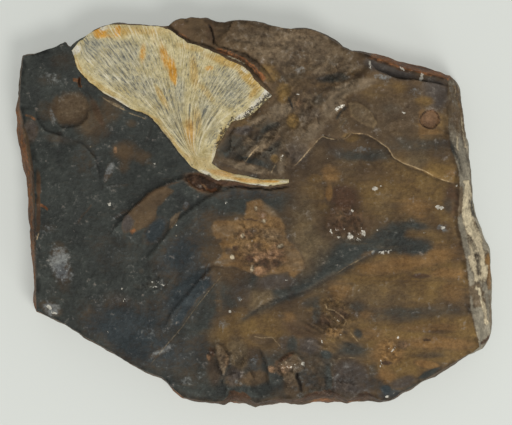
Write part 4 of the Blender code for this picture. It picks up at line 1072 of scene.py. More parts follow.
# %% Strands on the right slope
BEVEL_LINES = [  # colour, cover, width, points
    ("cream", 0.5, 5, [(456, 74), (461, 92), (464, 112), (466, 134)]),
    ("cream", 0.7, 15, [(464, 184), (468, 206), (475, 236), (480, 262), (481, 290)]),
    ("plum", 0.7, 7, [(450, 96), (453, 112), (455, 130)]),
    ("amber", 0.9, 3, [(450, 82), (458, 89), (461, 104), (464, 124)]),
    ("cream", 0.6, 6, [(454, 86), (456, 92), (458, 100)]),
    ("cream", 0.9, 3, [(461, 112), (463.5, 126), (466.5, 150)]),
    ("bloom_and_sheen", 0.8, 3, [(449, 84), (452, 98), (455, 116)]),
    ("cream", 0.8, 2.2, [(457, 134), (459, 152)]),
    ("sand", 0.9, 5, [(460.5, 184), (460.5, 200), (458.6, 219)]),
    ("cream", 1, 6.5, [(467, 179), (468.5, 187), (467.5, 195)]),
    ("cream", 1, 4.5, [(467.5, 193), (466, 206), (465, 220)]),
    ("slate", 0.65, 4.5, [(471, 195), (474, 210), (480, 226), (487, 244)]),
    ("marl", 1, 2.5, [(476, 216), (483, 231), (489.5, 247)]),
    ("cream", 1, 6.5, [(464, 217), (472, 230), (479, 245), (484, 262), (486, 284)]),
    ("slate", 0.5, 6, [(468, 232), (473.5, 246), (479, 262), (481, 279)]),
    ("amber", 1, 5, [(488.5, 250), (490, 264), (491.5, 280), (492.5, 294)]),
    ("cream", 0.9, 3.6, [(470.5, 253), (473.5, 267), (477, 284)]),
    ("cream", 0.7, 2.4, [(463.5, 248), (466.5, 262), (468.5, 276)]),
    ("sand", 0.9, 14, [(474, 283), (478, 296), (480, 309)]),
    ("cream", 0.9, 3.4, [(476, 283), (482, 297), (486, 312), (489, 328)]),
    ("amber", 0.5, 3, [(492, 292), (493, 312), (493, 334)]),
    ("cream", 0.9, 3, [(474.6, 330), (476.5, 337), (478.5, 344)]),
    ("umber", 0.9, 3.5, [(480, 345), (487, 341), (494, 336)]),
]
print(len(BEVEL_LINES), "strands")

# %% [markdown]
# Crust and pale lines
#
# The crust is white calcite, as chips and fine dust. A chip is a small crisp oval. A pale line along
# the step of the veined bed, and another along the slanting bed, are painted highlights where those
# steps face the lamps, and a few pale scratches cross the stone.

# %% Crust and pale lines
CHIPS = [  # u, v, half length, half width, turn if any
    (375, 189.2, 4, 2.4, 6), (380.5, 186.5, 1.2, 1.2), (439.6, 207.5, 4.4, 2.7, 4),
    (404, 113, 2.2, 1.4, 30), (456.8, 185.6, 1.4, 1.4), (338.8, 236.8, 2.2, 1.7),
    (350.5, 236, 3.8, 3.4, 40), (363.5, 233, 3, 2.4, 20), (359, 239.4, 3.4, 1, 10),
    (330.8, 231.2, 1.2, 1.1), (353, 210.4, 1.5, 1.5), (442.5, 227.6, 3, 1.8), (421.5, 77, 1.8, 5, 12),
    (369.8, 62.5, 1.5, 2.8), (402.5, 69, 3, 1.4, 30), (370, 67.5, 1.2, 1), (340, 107, 6, 1.4, -22),
    (336, 109.5, 2, 1.4), (297, 94.8, 2.2, 0.8, -15), (328, 158.5, 1.6, 0.7), (322.6, 136, 1.6, 1, -20),
    (377, 135.6, 1.2, 0.6), (282.5, 156, 1.4, 1), (291, 30.2, 1.2, 0.8), (73.6, 230.4, 1, 1.5),
    (122, 288.8, 1.4, 1.6), (123.6, 300, 0.9, 2.6, 30), (155, 163.4, 1.2, 1.2), (109.4, 204.3, 2, 2),
    (49, 307, 3.4, 1.8, 30), (54, 313, 2, 1.4), (56, 226.6, 0.9, 0.9), (229.8, 311.5, 1.8, 1.8),
    (241, 300.4, 1, 1), (178.5, 333, 1, 1.4), (286.5, 280.6, 0.9, 0.9), (303, 364, 1.4, 3.4, -20),
    (393, 350, 1, 4.6, 35), (380.8, 364, 0.8, 5, 12), (387.5, 396.6, 2.6, 1, -10), (394.6, 393.2, 1.4, 1),
    (398, 337.6, 1, 1), (321.5, 342, 1, 1.8), (340.5, 335, 1.6, 1), (226, 202.6, 1.1, 1.1),
    (377, 229.6, 1.4, 0.7, 10), (424, 232.4, 2.6, 0.7, -6), (108, 331.6, 0.9, 1.2), (176.4, 225, 0.8, 0.8),
    (383, 252.6, 2.2, 1.2, 10), (391, 249.6, 0.9, 1),
]
DUST = [
    (350, 232, 24, 9, 0.34), (394, 344, 12, 8, 0.34), (384, 252, 10, 3, 0.5),
    (335, 318, 16, 8, 0.3, 0.9, 35), (290, 364, 12, 9, 0.34), (400, 68, 34, 4, 0.3, 0.8, 16),
    (61, 264, 9, 18, 0.3, 0.9, -8), (46, 228, 9, 5, 0.28), (50, 308, 9, 5, 0.4, 0.9, 25),
    (252, 236, 14, 12, 0.28), (264, 262, 16, 8, 0.26), (276, 162, 9, 12, 0.34, 0.9, 20),
    (158, 285, 11, 6, 0.5, 0.8, 10), (456, 145, 4, 10, 0.4), (466, 258, 4, 16, 0.34),
]
PALE_LINES = [  # strength, points
    # The first line follows the veined bed's step and the third the slanting bed's: these two are painted
    # highlights where the step faces the lamps
    (1, [(291.7, 168.3), (297, 163.5), (303, 157), (308, 151), (313, 146), (318, 140), (323, 136),
        (328, 138), (335, 139.6), (342, 140), (347, 137.5), (351, 133.6), (360, 133.4), (368, 135),
        (378, 141), (388, 148), (391, 153), (393.3, 157.5), (403, 163), (417, 168), (426, 171.6),
        (437, 178), (447, 181), (455, 182.8)]),
    (0.3, GROOVES["long_scratch"]["line"]),
    (0.55, [(336, 274), (345, 268), (354, 262.6), (363, 258), (374, 250)]),
    (0.6, [(322, 305), (326, 304), (327, 309), (334, 310), (339, 314), (343, 317), (346, 321), (344, 325),
        (341, 334)]),
    (0.6, [(349, 331), (354, 337), (358.5, 342)]),
    (0.8, [(100, 95.6), (112, 104), (127, 111)]),
    (0.6, [(104, 99), (114, 103), (122, 107)]),
    (0.6, [(128, 112.6), (138, 116), (146, 119)]),
    (0.7, [(39, 233), (37, 240)]),
    (0.6, [(271, 173), (275, 165), (279, 158)]),
    (0.8, [(245, 162.5), (249, 156.5), (252, 152.5), (260, 145)]),
    (0.5, [(253, 336), (262, 338), (272, 337), (281, 347)]),
    (0.45, [(338, 359), (346, 357.6), (356, 358)]),
]
print(len(CHIPS), "chips,", len(PALE_LINES), "pale lines")


# %% Tools for the fields on top
LINE_REACH = 4  # units from a pale line within which its distance is kept
MOST_CRUMBLY = 0.45  # mm of roughness where the field reaches 1
CHIP_COVER, CHIP_SOFT = 1, 0.6
SHARD_COLOURS = [  # colour, middle and half width of its flakes' numbers, cover
    ("slate", 0.84, 0.10, 0.5), ("sand", 0.12, 0.12, 0.6), ("umber", 0.38, 0.06, 0.3),
    ("plum", 0.60, 0.05, 0.6), ("ochre", 0.70, 0.05, 0.4)]


def pale_line_fields(u, v):
    """Signed distance to the nearest pale line, in units, and where the line is there at all."""
    nearest, shown = np.full(np.shape(u), 9.0), np.zeros(np.shape(u))
    for strength, line in PALE_LINES:
        away, share = line_distance(u, v, line)
        closer = np.abs(away) < np.abs(nearest)
        nearest = np.where(closer, away, nearest)
        shown = np.where(closer, strength * tapered(share, 14) * (np.abs(away) < LINE_REACH), shown)
    return nearest, shown


def lay_groups(fields, u, v, bend, groups):
    """Each oval of each group, in order."""
    for name, spots in groups:
        for spot in spots:
            lay(fields, name, oval(u, v, bend, *spot))


def lay_shards(fields, u, v):
    """The broken flakes beside the leaf show beds of different colours, one to a flake."""
    number = shards(u, v)[1]
    for name, middle, width, cover in SHARD_COLOURS:
        lay(fields, name, cover * smooth((width - np.abs(number - middle)) * 20))


print(len(SHARD_COLOURS), "colours of flakes")


# %% Fields on the top face
def stone_fields(u, v):
    """Every stain of the top face at the points u, v."""
    bend = bending(u, v)
    cu, cv = swayed(u, v, 1.4, 7.0, 107, 109)
    fields = {name: np.zeros(np.shape(u)) for name in STAIN_NAMES}
    lay_groups(fields, u, v, bend, GROUND)
    lay_shards(fields, u, v)
    lay_groups(fields, u, v, bend, MARKS_ABOVE + MARKS_BELOW)
    for name, cover, soft, outline in OUTLINED:
        lay(fields, name, cover * region(cu, cv, outline, soft))
    lay_groups(fields, u, v, bend, LAST_MARKS + PATCH_MARKS)
    for name, cover, width, line in LINES:
        lay(fields, name, cover * streak(cu, cv, line, width))
    away = np.hypot(cu - MOULD[0], cv - MOULD[1])
    # The umber ring round the mould's rim is painted shade at the edge of the hollow; the peach inside is
    # the mould's own colour
    lay(fields, "umber", 0.9 * smooth(1.4 - np.abs(away - MOULD[2] - 0.4)))
    lay(fields, "peach", smooth((MOULD[2] - away) / 1.4 + 0.4))
    return fields


def other_fields(u, v):
    """Crust, the pale lines and how crumbly each place is."""
    bend = bending(u, v)
    crust = np.zeros(np.shape(u))
    for spot in DUST + [(*chip[:4], CHIP_COVER, CHIP_SOFT, *chip[4:]) for chip in CHIPS]:
        crust = np.maximum(crust, oval(u, v, bend, *spot))
    line_side, line_shown = pale_line_fields(u, v)
    crumb = crumble(u, v) / MOST_CRUMBLY
    return {"crust": crust, "line_side": line_side, "line_shown": line_shown, "crumb": crumb}


print("the stains are laid group by group")

# %% Painted shade in crevices
# Crevices that get painted shade, each with its width, how dark it is and its points
CREVICES = [  # width, darkness, points
    (3.6, 0.9, [(56, 133), (60, 133.6), (63, 133)]),
    (1.6, 0.7, [(152, 124), (149, 136), (143, 143)]),
    (1.6, 0.5, [(98, 189), (108, 185), (125, 184)]),
    (1.6, 0.6, [(82, 90), (88, 93), (92, 100)]),
    (2.4, 0.9, [(289, 98), (290, 104), (293, 109)]),
    (1.8, 0.9, [(274, 130), (277.5, 126), (279, 121)]),
    (2, 0.6, [(262, 131), (268, 130), (274, 129)]),
    (1.6, 0.7, [(347, 106), (341, 112), (336, 119)]),
    (2.2, 0.8, [(207.5, 351), (210, 356), (212, 364)]),
    (1.6, 0.7, [(218, 362), (221, 370), (223, 377)]),
    (1.6, 0.6, [(280, 360), (287, 355), (295, 352.6)]),
    (2.2, 0.5, [(261, 350), (266, 362), (268, 376), (269, 388)]),
    (2, 0.6, [(325, 372), (326, 384), (329, 392)]),
    (1.8, 0.5, [(204, 269), (214, 267), (226, 268)]),
    (1.6, 0.3, [(280, 219), (286, 226), (284, 233)]),
    (2, 0.8, [(376, 70), (392, 74), (412, 79.5)]),
    (2, 0.8, [(425, 73.5), (436, 76), (445, 79)]),
    (2.6, 0.8, [(364, 54.4), (372, 57), (379, 60)]),
    (1.4, 0.6, [(300, 137), (308, 131), (312, 126)]),
    (2, 0.5, [(316, 79), (324, 78), (332, 82)]),
]
FAINT_LEDGES = ("dish_rim", "outer_arc")
FAINT = 0.55  # how dark their crevices are, against the others
LOWER_LEFT = LEFT_MARGIN[9:21]


def painted_shade_field(u, v):
    """Painted shade: just below each ledge, in the grooves and cracks, and beside the leaf's lower left
    margin.
    """
    bu, bv = bent(u, v)
    dark = np.zeros(np.shape(u))
    patchy = 0.75 + 0.6 * layered_noise(u, v, 8.0, 161, 3)
    for name, ledge in LEDGES.items():
        away, share = line_distance(bu, bv, ledge["line"])
        ends = smooth(share * 6) * smooth((1 - share) * 2.2)
        strength = min(0.9, ledge["rise"]) * (FAINT if name in FAINT_LEDGES else 1.0)
        # Painted shade at each ledge: a dark core along the step and a faint shadow spreading over its low
        # side
        core = smooth(1.2 + away / 1.3) * smooth(1.1 - away / 1.2)
        core += 0.25 * smooth(1 + away / 6.0) * (away < 0)
        dark = np.maximum(dark, strength * patchy * ends * core)
    for name, groove in GROOVES.items():
        if name != "long_scratch":
            dark = np.maximum(dark, streak(bu, bv, groove["line"], groove["width"], 1.8))
    for width, strength, line in CREVICES:
        dark = np.maximum(dark, strength * streak(bu, bv, line, width, 1.6))
    return np.maximum(dark, 0.75 * streak(u, v, LOWER_LEFT, 3.4, 2.2))


top_fields = {**stone_fields(uu, vv), **other_fields(uu, vv)}
# Painted shade in crevices, at the feet of ledges and in grooves and cracks
top_fields["painted_shade"] = painted_shade_field(uu, vv)
# Painted light and shade from the relief, kept within bounds
top_fields["worn"] = np.clip(worn, -1.5, 1.5)
print("fields:", ", ".join(top_fields))

# %% [markdown]
# Colours of the walls
#
# The left wall is orange-brown under a dark band, and the rest is brown with a rusty lower edge. The
# right slope is drawn with its strands, on the tracing, because it is seen from above.

# %% Fields on the walls
rim_u, rim_v = rim_ring[None, :, 0], rim_ring[None, :, 1]
slope_starts = 444 + 20 * smooth((rim_v - 346) / 6)
right_side = smooth((rim_u - slope_starts) / 7) * smooth((rim_v - 78) / 5)
left_side = smooth((46 - rim_u) / 8) * smooth((rim_v - 90) / 14)
foot_side = smooth((rim_v - 386) / 8) * (1 - right_side)
top_right = smooth((rim_u - 366) / 8) * smooth((84 - rim_v) / 5)
depth = RINGS[:, None]
patchy = layered_noise(around[None] + 0 * depth, depth * 40, 9.0, 55, 3)
lamella = layered_noise(around[None] / 3.0 + 0 * depth, depth * 34, 4.0, 57, 3)
zero = 0 * patchy
wall_u, wall_v = trace(wall)
wall_fields = {name: zero.copy() for name in STAIN_NAMES}
WALL_STAINS = [
    ("slate", np.clip(0.3 + 0.5 * lamella, 0, 1)),
    ("umber", np.clip(0.4 + 0.6 * patchy, 0, 1)),
    ("rust", np.clip(0.55 * smooth((depth - 0.4) * 3 + 1.4 * patchy) + 0.5 * lamella - 0.1, 0, 1)),
    ("umber", 0.8 * foot_side * smooth(1.2 - 2 * depth + lamella)),
    ("rust", 0.6 * foot_side * smooth(depth * 3 - 0.8 + patchy)),
    ("umber", left_side * smooth((0.08 - depth) * 12 + 0.5 * patchy)),
    ("amber", left_side * smooth((depth - 0.04) * 16 + 0.3 * lamella)),
    ("peach", left_side * smooth((0.7 - depth) * 4) * smooth((depth - 0.05) * 16 + 0.9 * lamella)),
    ("rust", 0.6 * left_side * smooth((depth - 0.05) * 16)),
    ("rust", 0.8 * top_right * smooth(0.9 + lamella)),
    ("marl", smooth(right_side * 1.6 - 0.3 + 0.4 * lamella * (1 - right_side)) * 0.9),
    ("slate", right_side * np.clip(1.4 * lamella - 0.1, 0, 1)),
]
for name, cover in WALL_STAINS:
    lay(wall_fields, name, cover)
sway_u = wall_u + 1.6 * layered_noise(wall_u, wall_v, 9.0, 191, 3)
for name, cover, width, line in BEVEL_LINES:
    lay(wall_fields, name, cover * right_side * streak(sway_u, wall_v, line, width, 1.4))
# The dark band along the top of the left wall is painted shade, and splinters that stand out are painted
# lighter, those set back darker
wall_fields.update({
    "crust": 0.3 * smooth(patchy * 3 - 1) * (1 + right_side * 0.4), "crumb": 0.25 + zero,
    "line_side": 9 + zero, "line_shown": zero, "painted_shade": 0.4 * left_side * smooth((0.05 - depth) * 20),
    "worn": 1.2 * splinters})
print("walls: share of right slope", round(float(right_side.mean()), 2))


# %% Fields of the whole stone
BELOW = {"ochre": 0.45, "slate": 0.3, "crumb": 0.2, "line_side": 9.0, "rust": 0.12}
below_blotches = 0.5 * layered_noise(under_grid[..., 0] / UNIT, under_grid[..., 1] / UNIT, 40.0, 59, 4)


def stone_field(name):
    """One field over all the stone's points: top, walls, underside."""
    below = BELOW.get(name, 0.0) + below_blotches * (name in ("ochre", "slate", "rust"))
    return np.concatenate([top_fields[name].ravel(), wall_fields[name].ravel(), below.ravel()])


stone = build_mesh(
    "broken_mudstone", points, quads.tolist() + triangles.tolist(), 38,
    {name: stone_field(name) for name in wall_fields})
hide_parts("mudstone_slab")
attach(stone, "root")
print("stone:", len(stone.data.polygons), "faces")

# %% [markdown]
# The leaf's grid
#
# The leaf is a fan of veins that fork again and again from the top of the petiole. So its grid runs
# along the veins: one direction goes up the leaf from the petiole's tip to the outer margin, and the
# other goes across it. The petiole is a narrow grid, the blade a Coons patch, and they share a row.

# %% Leaf grid
ACROSS = 481
PETIOLE_ROWS, BLADE_ROWS = 34, 136
MARGIN_RAG, MARGIN_CELL = 0.8, 3.6


def rough_margin(line, seed):
    """A margin moved sideways by fine noise that dies out at both ends."""
    run = np.linspace(0, 1, len(line))
    sideways = np.gradient(line, axis=0)
    sideways = np.stack([-sideways[:, 1], sideways[:, 0]], -1)
    sideways /= np.linalg.norm(sideways, axis=1, keepdims=True)
    rag = MARGIN_RAG * layered_noise(line[:, 0], line[:, 1], MARGIN_CELL, seed, 3)
    return line + sideways * (rag * tapered(run, 12))[:, None]


def leaf_grid():
    """Rows of points across the leaf, from the petiole's tip to the outer margin."""
    left, right = np.array(LEFT_MARGIN, float), np.array(RIGHT_MARGIN, float)
    share = np.linspace(0, 1, ACROSS)[None, :, None]
    stalk_left = rough_margin(evenly(left[: PETIOLE_POINTS + 1], PETIOLE_ROWS + 1), 119)
    stalk_right = rough_margin(evenly(right[: PETIOLE_POINTS + 1], PETIOLE_ROWS + 1), 127)
    stalk = stalk_left[:, None] * (1 - share) + stalk_right[:, None] * share
    blade_left = rough_margin(evenly(left[PETIOLE_POINTS:], BLADE_ROWS + 1), 111)
    blade_right = rough_margin(evenly(right[PETIOLE_POINTS:], BLADE_ROWS + 1), 113)
    outer = rough_margin(evenly(np.array(OUTER_MARGIN, float), ACROSS), 117)
    blade = coons(stalk[-1], outer, blade_left, blade_right)
    return np.concatenate([stalk[:-1], blade])


leaf_uv = leaf_grid()
leaf_rows = len(leaf_uv)
print("leaf grid:", leaf_uv.shape[:2])

# %% [markdown]
# Which vein
#
# The veins start together at the foot of the blade, so the vein that a point lies on is given by its
# direction from there. The few along the left margin run straight, and all others bend outwards as they
# climb. The margins keep the grid's own lines.

# %% Which vein
FAN_BASE = (202.0, 170.0)
FAN_LEFT, FAN_RIGHT = 141.0, 47.0
FAN_REACH = 120.0
SWEEP = 0.8
STRAIGHT = 0.15


def vein_share(u, v):
    """0 at the left margin to 1 at the right: the direction from the base as a share of the fan's
    angle. Past the straight veins, what is left of that share, counted from the right margin, is
    raised to the power reach^-0.8, with reach 1 at the outer margin and near 0 at the base."""
    away = np.clip(np.hypot(u - FAN_BASE[0], v - FAN_BASE[1]) / FAN_REACH, 0.1, 1.0)
    angle = np.degrees(np.arctan2(FAN_BASE[1] - v, u - FAN_BASE[0]))
    share = np.clip((FAN_LEFT - angle) / (FAN_LEFT - FAN_RIGHT), 0, 1)
    rest = np.clip((share - STRAIGHT) / (1 - STRAIGHT), 0, 1)
    swept = STRAIGHT + (1 - STRAIGHT) * (1 - (1 - rest) ** (away**-SWEEP))
    return np.where(share < STRAIGHT, share, swept)


row = np.arange(leaf_rows)[:, None] + 0 * leaf_uv[..., 0]
share_across = np.arange(ACROSS)[None, :] / (ACROSS - 1) + 0 * row
share_up = np.clip((row - PETIOLE_ROWS) / BLADE_ROWS, 0, 1)
on_blade = smooth((row - PETIOLE_ROWS + 6) / 16)
lu, lv = leaf_uv[..., 0], leaf_uv[..., 1]
inner = smooth(np.minimum(share_across, 1 - share_across) * 9) * smooth(share_up * 14)
vein_place = share_across * (1 - inner) + vein_share(lu, lv) * inner
print("middle vein ends at share", round(float(np.interp(0.5, vein_place[-1], share_across[-1])), 2))

# %% [markdown]
# Veins that fork
#
# A ginkgo vein splits in two, and each half splits again. In numbers: across the leaf the place is a
# share a from 0 to 1. With n veins, n*a counts them, and the fraction of that count says where a point
# is between two of them. A split is a pair of ridges that part from the middle: the ridge is where the
# distance from the middle equals an offset, which grows from 0 to a quarter. At a quarter the ridges
# are evenly spaced, and the same rule starts again with twice the count. Noise shifts where each
# fork happens, so that they don't line up in rings.

# %% Vein pattern
FIRST_VEINS = 5
FORKS = [(0.0, 0.13), (0.12, 0.30), (0.28, 0.56), (0.54, 0.90)]
VEIN_WIDTH = 0.16  # as a share of the way to the next pair
LATEST = 0.08  # the most that a fork comes late


def vein_ridges(a, r):
    """Ridge strength 0 to 1 at share a across and r up the blade, forking again and again."""
    a = a + 0.005 * layered_noise(r * 11, a * 26, 1.0, 121, 3)
    ridge = np.zeros(a.shape)
    count = FIRST_VEINS
    for start, end in FORKS:
        which = np.floor(count * a)
        late = LATEST * lattice(which, which * 0 + count, 123)
        begin, finish = start + late, end + late
        middle = np.abs(count * a - which - 0.5)
        parting = 0.25 * smooth((r - begin) / (finish - begin))
        level = np.exp(-((middle - parting) / VEIN_WIDTH)**2)
        here = (r >= begin) if start > FORKS[0][0] else np.ones(a.shape, bool)
        ridge = np.where(here, level, ridge)
        count *= 2
    return ridge


ridge = vein_ridges(vein_place, share_up)
ridge *= np.clip(0.75 + 0.9 * layered_noise(vein_place * 46, share_up * 7, 1.0, 125, 3), 0.15, 1.2)
print("veins at the margin:", FIRST_VEINS * 2 ** len(FORKS))

# %% [markdown]
# Thickness of the leaf
#
# The film stands a third of a millimetre proud of the stone. The veins add a tenth, the margins are a
# little thicker, the petiole is arched like the stalk that it was, and the surface is broken by small
# pits where the film has flaked.

# %% Leaf surface
LEAF_PROUD = 0.35 * MM
FILM = 0.75 * MM
STALK_ARCH, STALK_LUMPS = 0.75 * MM, 0.2 * MM
VEIN_RISE, OUTER_DROP = 0.13 * MM, 0.12 * MM
LIP_RISE, LIP_WIDTH = 0.12 * MM, 0.035
FLAKED, CHALK = 0.07 * MM, 0.03 * MM

arch = np.sqrt(np.clip(1 - (2 * share_across - 1)**2, 0, 1))
to_side = np.minimum(share_across, 1 - share_across) * (0.4 + 0.6 * share_up)
flaked = layered_noise(lu, lv, 5.0, 131, 3)
leaf_height = bedding(lu, lv) + LEAF_PROUD
leaf_height += (1 - on_blade) * STALK_ARCH * (arch - 0.35)
leaf_height += (1 - on_blade) * STALK_LUMPS * layered_noise(lu, lv, 3.0, 135, 2)
leaf_height += on_blade * (VEIN_RISE * (ridge - 0.5) + LIP_RISE * smooth(1 - to_side / LIP_WIDTH))
leaf_height += FLAKED * flaked + CHALK * layered_noise(lu, lv, 1.6, 133, 1)
leaf_height -= OUTER_DROP * smooth((row - leaf_rows + 4) / 4)
leaf_top = np.concatenate([place(leaf_uv), (SLAB_THICKNESS + leaf_height)[..., None]], -1)
leaf_bottom_z = SLAB_THICKNESS + bedding(lu, lv) + LEAF_PROUD - FILM
print("leaf stands up to", round(float(leaf_height.max() / MM), 2), "mm above the plane")

# %% [markdown]
# Colours of the leaf
#
# The film is cream calcite. Ochre has soaked in along both margins, orange in a few vein-wise streaks
# and one crumbly spot, grey-blue stone shows between the veins where the film is thin, and the tips are
# nearly white. As on the stone, each is a field, and they are laid in order.

# %% Stains on the leaf
LEAF_STAINS_LAID = [
    ("wash", [
        (222, 80, 25, 14, 0.55, 0.9, -22), (236, 94, 21, 12, 0.6, 0.9, -34),
        (204, 112, 10, 17, 0.6, 0.9, 10), (214, 131, 7, 14, 0.5, 0.9, 20), (179, 86, 6, 14, 0.6, 0.9, -6),
        (92, 45, 14, 9, 0.7, 0.9, -40), (116, 74, 32, 13, 0.45, 1, 34), (172, 106, 13, 18, 0.45, 1),
        (150, 90, 16, 14, 0.5, 1), (130, 52, 30, 12, 0.55, 1, 6), (120, 62, 46, 26, 0.35, 1, 30),
        (174, 130, 10, 12, 0.4, 1, 40), (194, 62, 9, 12, 0.5, 1)]),
    ("ochre", [
        (248, 78, 16, 4.5, 0.9, 0.7, 46), (226, 62, 22, 4.5, 0.8, 0.7, 20), (190, 47, 16, 3, 0.5, 0.8, 12),
        (104, 90, 32, 3.4, 0.5, 0.8, 36), (78, 66, 3, 16, 0.5, 0.8, -24), (148, 116, 16, 3, 0.6, 0.8, 24),
        (172, 140, 22, 3, 0.6, 0.8, 52), (255, 92, 9, 3.4, 0.8, 0.8, -48), (140, 31, 30, 4, 0.6, 0.8, 2),
        (194, 72, 4.6, 17, 0.7, 0.8, -4), (118, 34, 10, 6, 0.75, 0.8), (162, 97, 3, 13, 0.7, 0.8, -27),
        (189, 138, 4.4, 17, 0.7, 0.8, -16), (206, 92, 12, 3.4, 0.5, 0.8, 50), (196, 122, 5, 14, 0.6, 0.8),
        (200, 164, 12, 8, 0.4, 0.8), (218, 142, 2.4, 17, 0.6, 0.8, 27), (218, 173, 12, 4, 0.6, 0.8, 14),
        (246, 180, 20, 2.6, 0.6, 0.8, 4)]),
    ("orange", [
        (100.5, 31, 8, 6.4, 1, 0.6, -30), (118, 31, 3.4, 6.4, 0.9, 0.6, 6), (109, 36, 12, 2, 0.6, 0.8),
        (143, 53, 3.2, 9, 0.7, 0.9, 6), (164, 56, 4, 13, 0.8, 0.9, -12), (172, 70, 4, 13, 1, 0.7, -10),
        (175, 77, 2, 9, 0.8, 0.7), (209, 68, 4.4, 2.6, 0.7, 0.9, -10), (190, 131, 4.5, 14, 0.7, 0.9, -4),
        (204, 176, 6, 3, 0.6, 0.8, 20), (222, 173.6, 15, 3.4, 0.75, 0.8, 12),
        (250, 180.4, 18, 2.2, 0.75, 0.8, 4), (188, 158, 7, 4, 0.4, 0.9, 40), (154, 36, 3, 8, 0.3),
        (272, 181, 9, 1.4, 0.9, 0.8)]),
    # The film's own white at the tips and in flecks; the thin white strip along the petiole's lower edge is
    # a painted highlight, where that edge faces the lamps
    ("white", [
        (76, 50, 6, 4.4, 0.8, 0.8, -50), (269, 94, 6, 5, 0.9, 0.8, 45), (258, 102, 12, 3.4, 0.75, 0.9, -44),
        (243, 115, 11, 2.6, 0.7, 0.9, -30), (254, 185.4, 15, 1.8, 1, 0.7, 2),
        (206, 173, 7, 2, 0.7, 0.8, 24), (232, 181, 8, 1.4, 0.8, 0.8, 8), (104, 28, 4, 3, 0.7, 0.8),
        (218, 181, 4, 1.6, 0.8, 0.8, 10), (118, 101, 18, 1.4, 0.7, 0.8, 32), (284, 181.4, 5, 1.4, 0.6, 0.8),
        (244, 70, 5, 2, 0.6, 0.8, 40), (214, 152, 2, 12, 0.5, 0.8, 10), (252, 60, 4, 2, 0.3, 0.8, 40)]),
]
print(sum(len(spots) for _, spots in LEAF_STAINS_LAID), "stains on the leaf")

# %% Fields on the leaf
leaf_bend = bending(lu, lv)
leaf_fields = {name: 0 * lu for name, _ in LEAF_STAINS_LAID}
lay_groups(leaf_fields, lu, lv, leaf_bend, LEAF_STAINS_LAID)
plain_margin = smooth(1.3 - to_side / 0.05)
upper_margin = smooth(1.2 - (leaf_rows - 1 - row) / 6.0) * smooth((share_across - 0.3) * 6)
plain = np.maximum(plain_margin, np.maximum(upper_margin, 0.9 * leaf_fields["orange"]))
lumpy = layered_noise(lu, lv, 14.0, 149, 3)
thin = 0.58 + 0.32 * leaf_fields["wash"] + 0.2 * lumpy + 0.05 * smooth((lu - 170) / 20)
furrow = (1 - ridge) * on_blade * smooth(share_up * 16) * (1 - 0.75 * plain) * thin
ragged_side = smooth(1.2 - (1 - share_across) * (0.2 + share_up) / 0.045) * smooth(share_up * 6)
stalk_gaps = (1 - on_blade) * smooth(1.3 - 5 * share_across)
stalk_gaps *= smooth(2.2 * layered_noise(lu, lv, 6.0, 147, 2))
threads = layered_noise(vein_place * 34, share_up * 7, 1.0, 151, 3) * on_blade * smooth(2.4 - 4 * share_up)
leaf_fields["furrow"] = np.clip(furrow - 1.2 * threads * smooth(share_up * 9), 0, 1.3)
fibres = 0.6 + 0.4 * layered_noise(row * 0.4, share_across * 14, 1.0, 145, 2)
leaf_fields["vein"] = (ridge + 0.8 * threads) * on_blade + (1 - on_blade) * fibres
leaf_fields["bare"] = np.maximum(0.85 * ragged_side * smooth((lu - 208) / 8), stalk_gaps)
print("leaf fields:", ", ".join(leaf_fields))

# %% Leaf mesh
leaf_ring = grid_ring(leaf_rows, ACROSS, 0)
below = ring_of(np.concatenate([place(leaf_uv), leaf_bottom_z[..., None]], -1))
below_ring = leaf_top[..., 0].size + np.arange(len(leaf_ring))
leaf_faces = np.concatenate([grid_faces(leaf_rows, ACROSS, 0), band_faces(leaf_ring, below_ring)])
leaf_faces = leaf_faces[:, ::-1]  # the leaf's rows run up the tracing, the stone's run down it


def over_leaf(field):
    """A field at each point of the film's top, and again at the points below its rim."""
    return np.r_[field.ravel(), ring_of(field)]


leaf = build_mesh(
    "leaf_film", np.concatenate([leaf_top.reshape(-1, 3), below]),
    leaf_faces.tolist() + [below_ring[::-1].tolist()], 50,
    {name: over_leaf(field) for name, field in leaf_fields.items()})
corners = np.empty(len(leaf.data.loops), np.int32)
leaf.data.loops.foreach_get("vertex_index", corners)
fan = leaf.data.uv_layers.new(name="fan")
fan_uv = np.stack([over_leaf(vein_place), over_leaf(share_up)], -1)
fan.data.foreach_set("uv", fan_uv[corners].astype(np.float32).ravel())
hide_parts("ginkgo_leaf")
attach(leaf, "root")
print("leaf:", len(leaf.data.polygons), "faces")

# %% [markdown]
# Colours and nodes
#
# Colours are written as they look on a screen, as sRGB hex values, and one function turns them into the
# linear values that a renderer mixes. One more function adds a node: it takes the kind of node, the
# values or links for its inputs, and its settings. The fields on the mesh come in by their names.


# %% Tools for materials
def linear(hex_colour):
    """An sRGB hex colour as linear red, green, blue and alpha: ((c + 0.055) / 1.055)^2.4."""
    parts = [int(hex_colour[k: k + 2], 16) / 255 for k in (0, 2, 4)]
    return tuple(c / 12.92 if c <= 0.04045 else ((c + 0.055) / 1.055)**2.4 for c in parts) + (1.0,)


def add(tree, kind, inputs=None, **settings):
    """A node with its settings; an input takes a plain value, or another node's output as a link."""
    made = tree.nodes.new(kind)
    for name, value in settings.items():
        setattr(made, name, value)
    for key, value in (inputs or {}).items():
        if isinstance(value, bpy.types.NodeSocket):
            tree.links.new(value, made.inputs[key])
        else:
            made.inputs[key].default_value = value
    return made


def new_material(name):
    """A material with its node tree and its surface shader."""
    material = bpy.data.materials.new(name)
    material.use_nodes = True
    return material, material.node_tree, material.node_tree.nodes["Principled BSDF"]


FACTOR, FIRST_COLOUR, SECOND_COLOUR, MIXED = 0, 6, 7, 2  # places of a colour mix's sockets
print("fresh slate as linear:", [round(c, 3) for c in linear("45453e")])

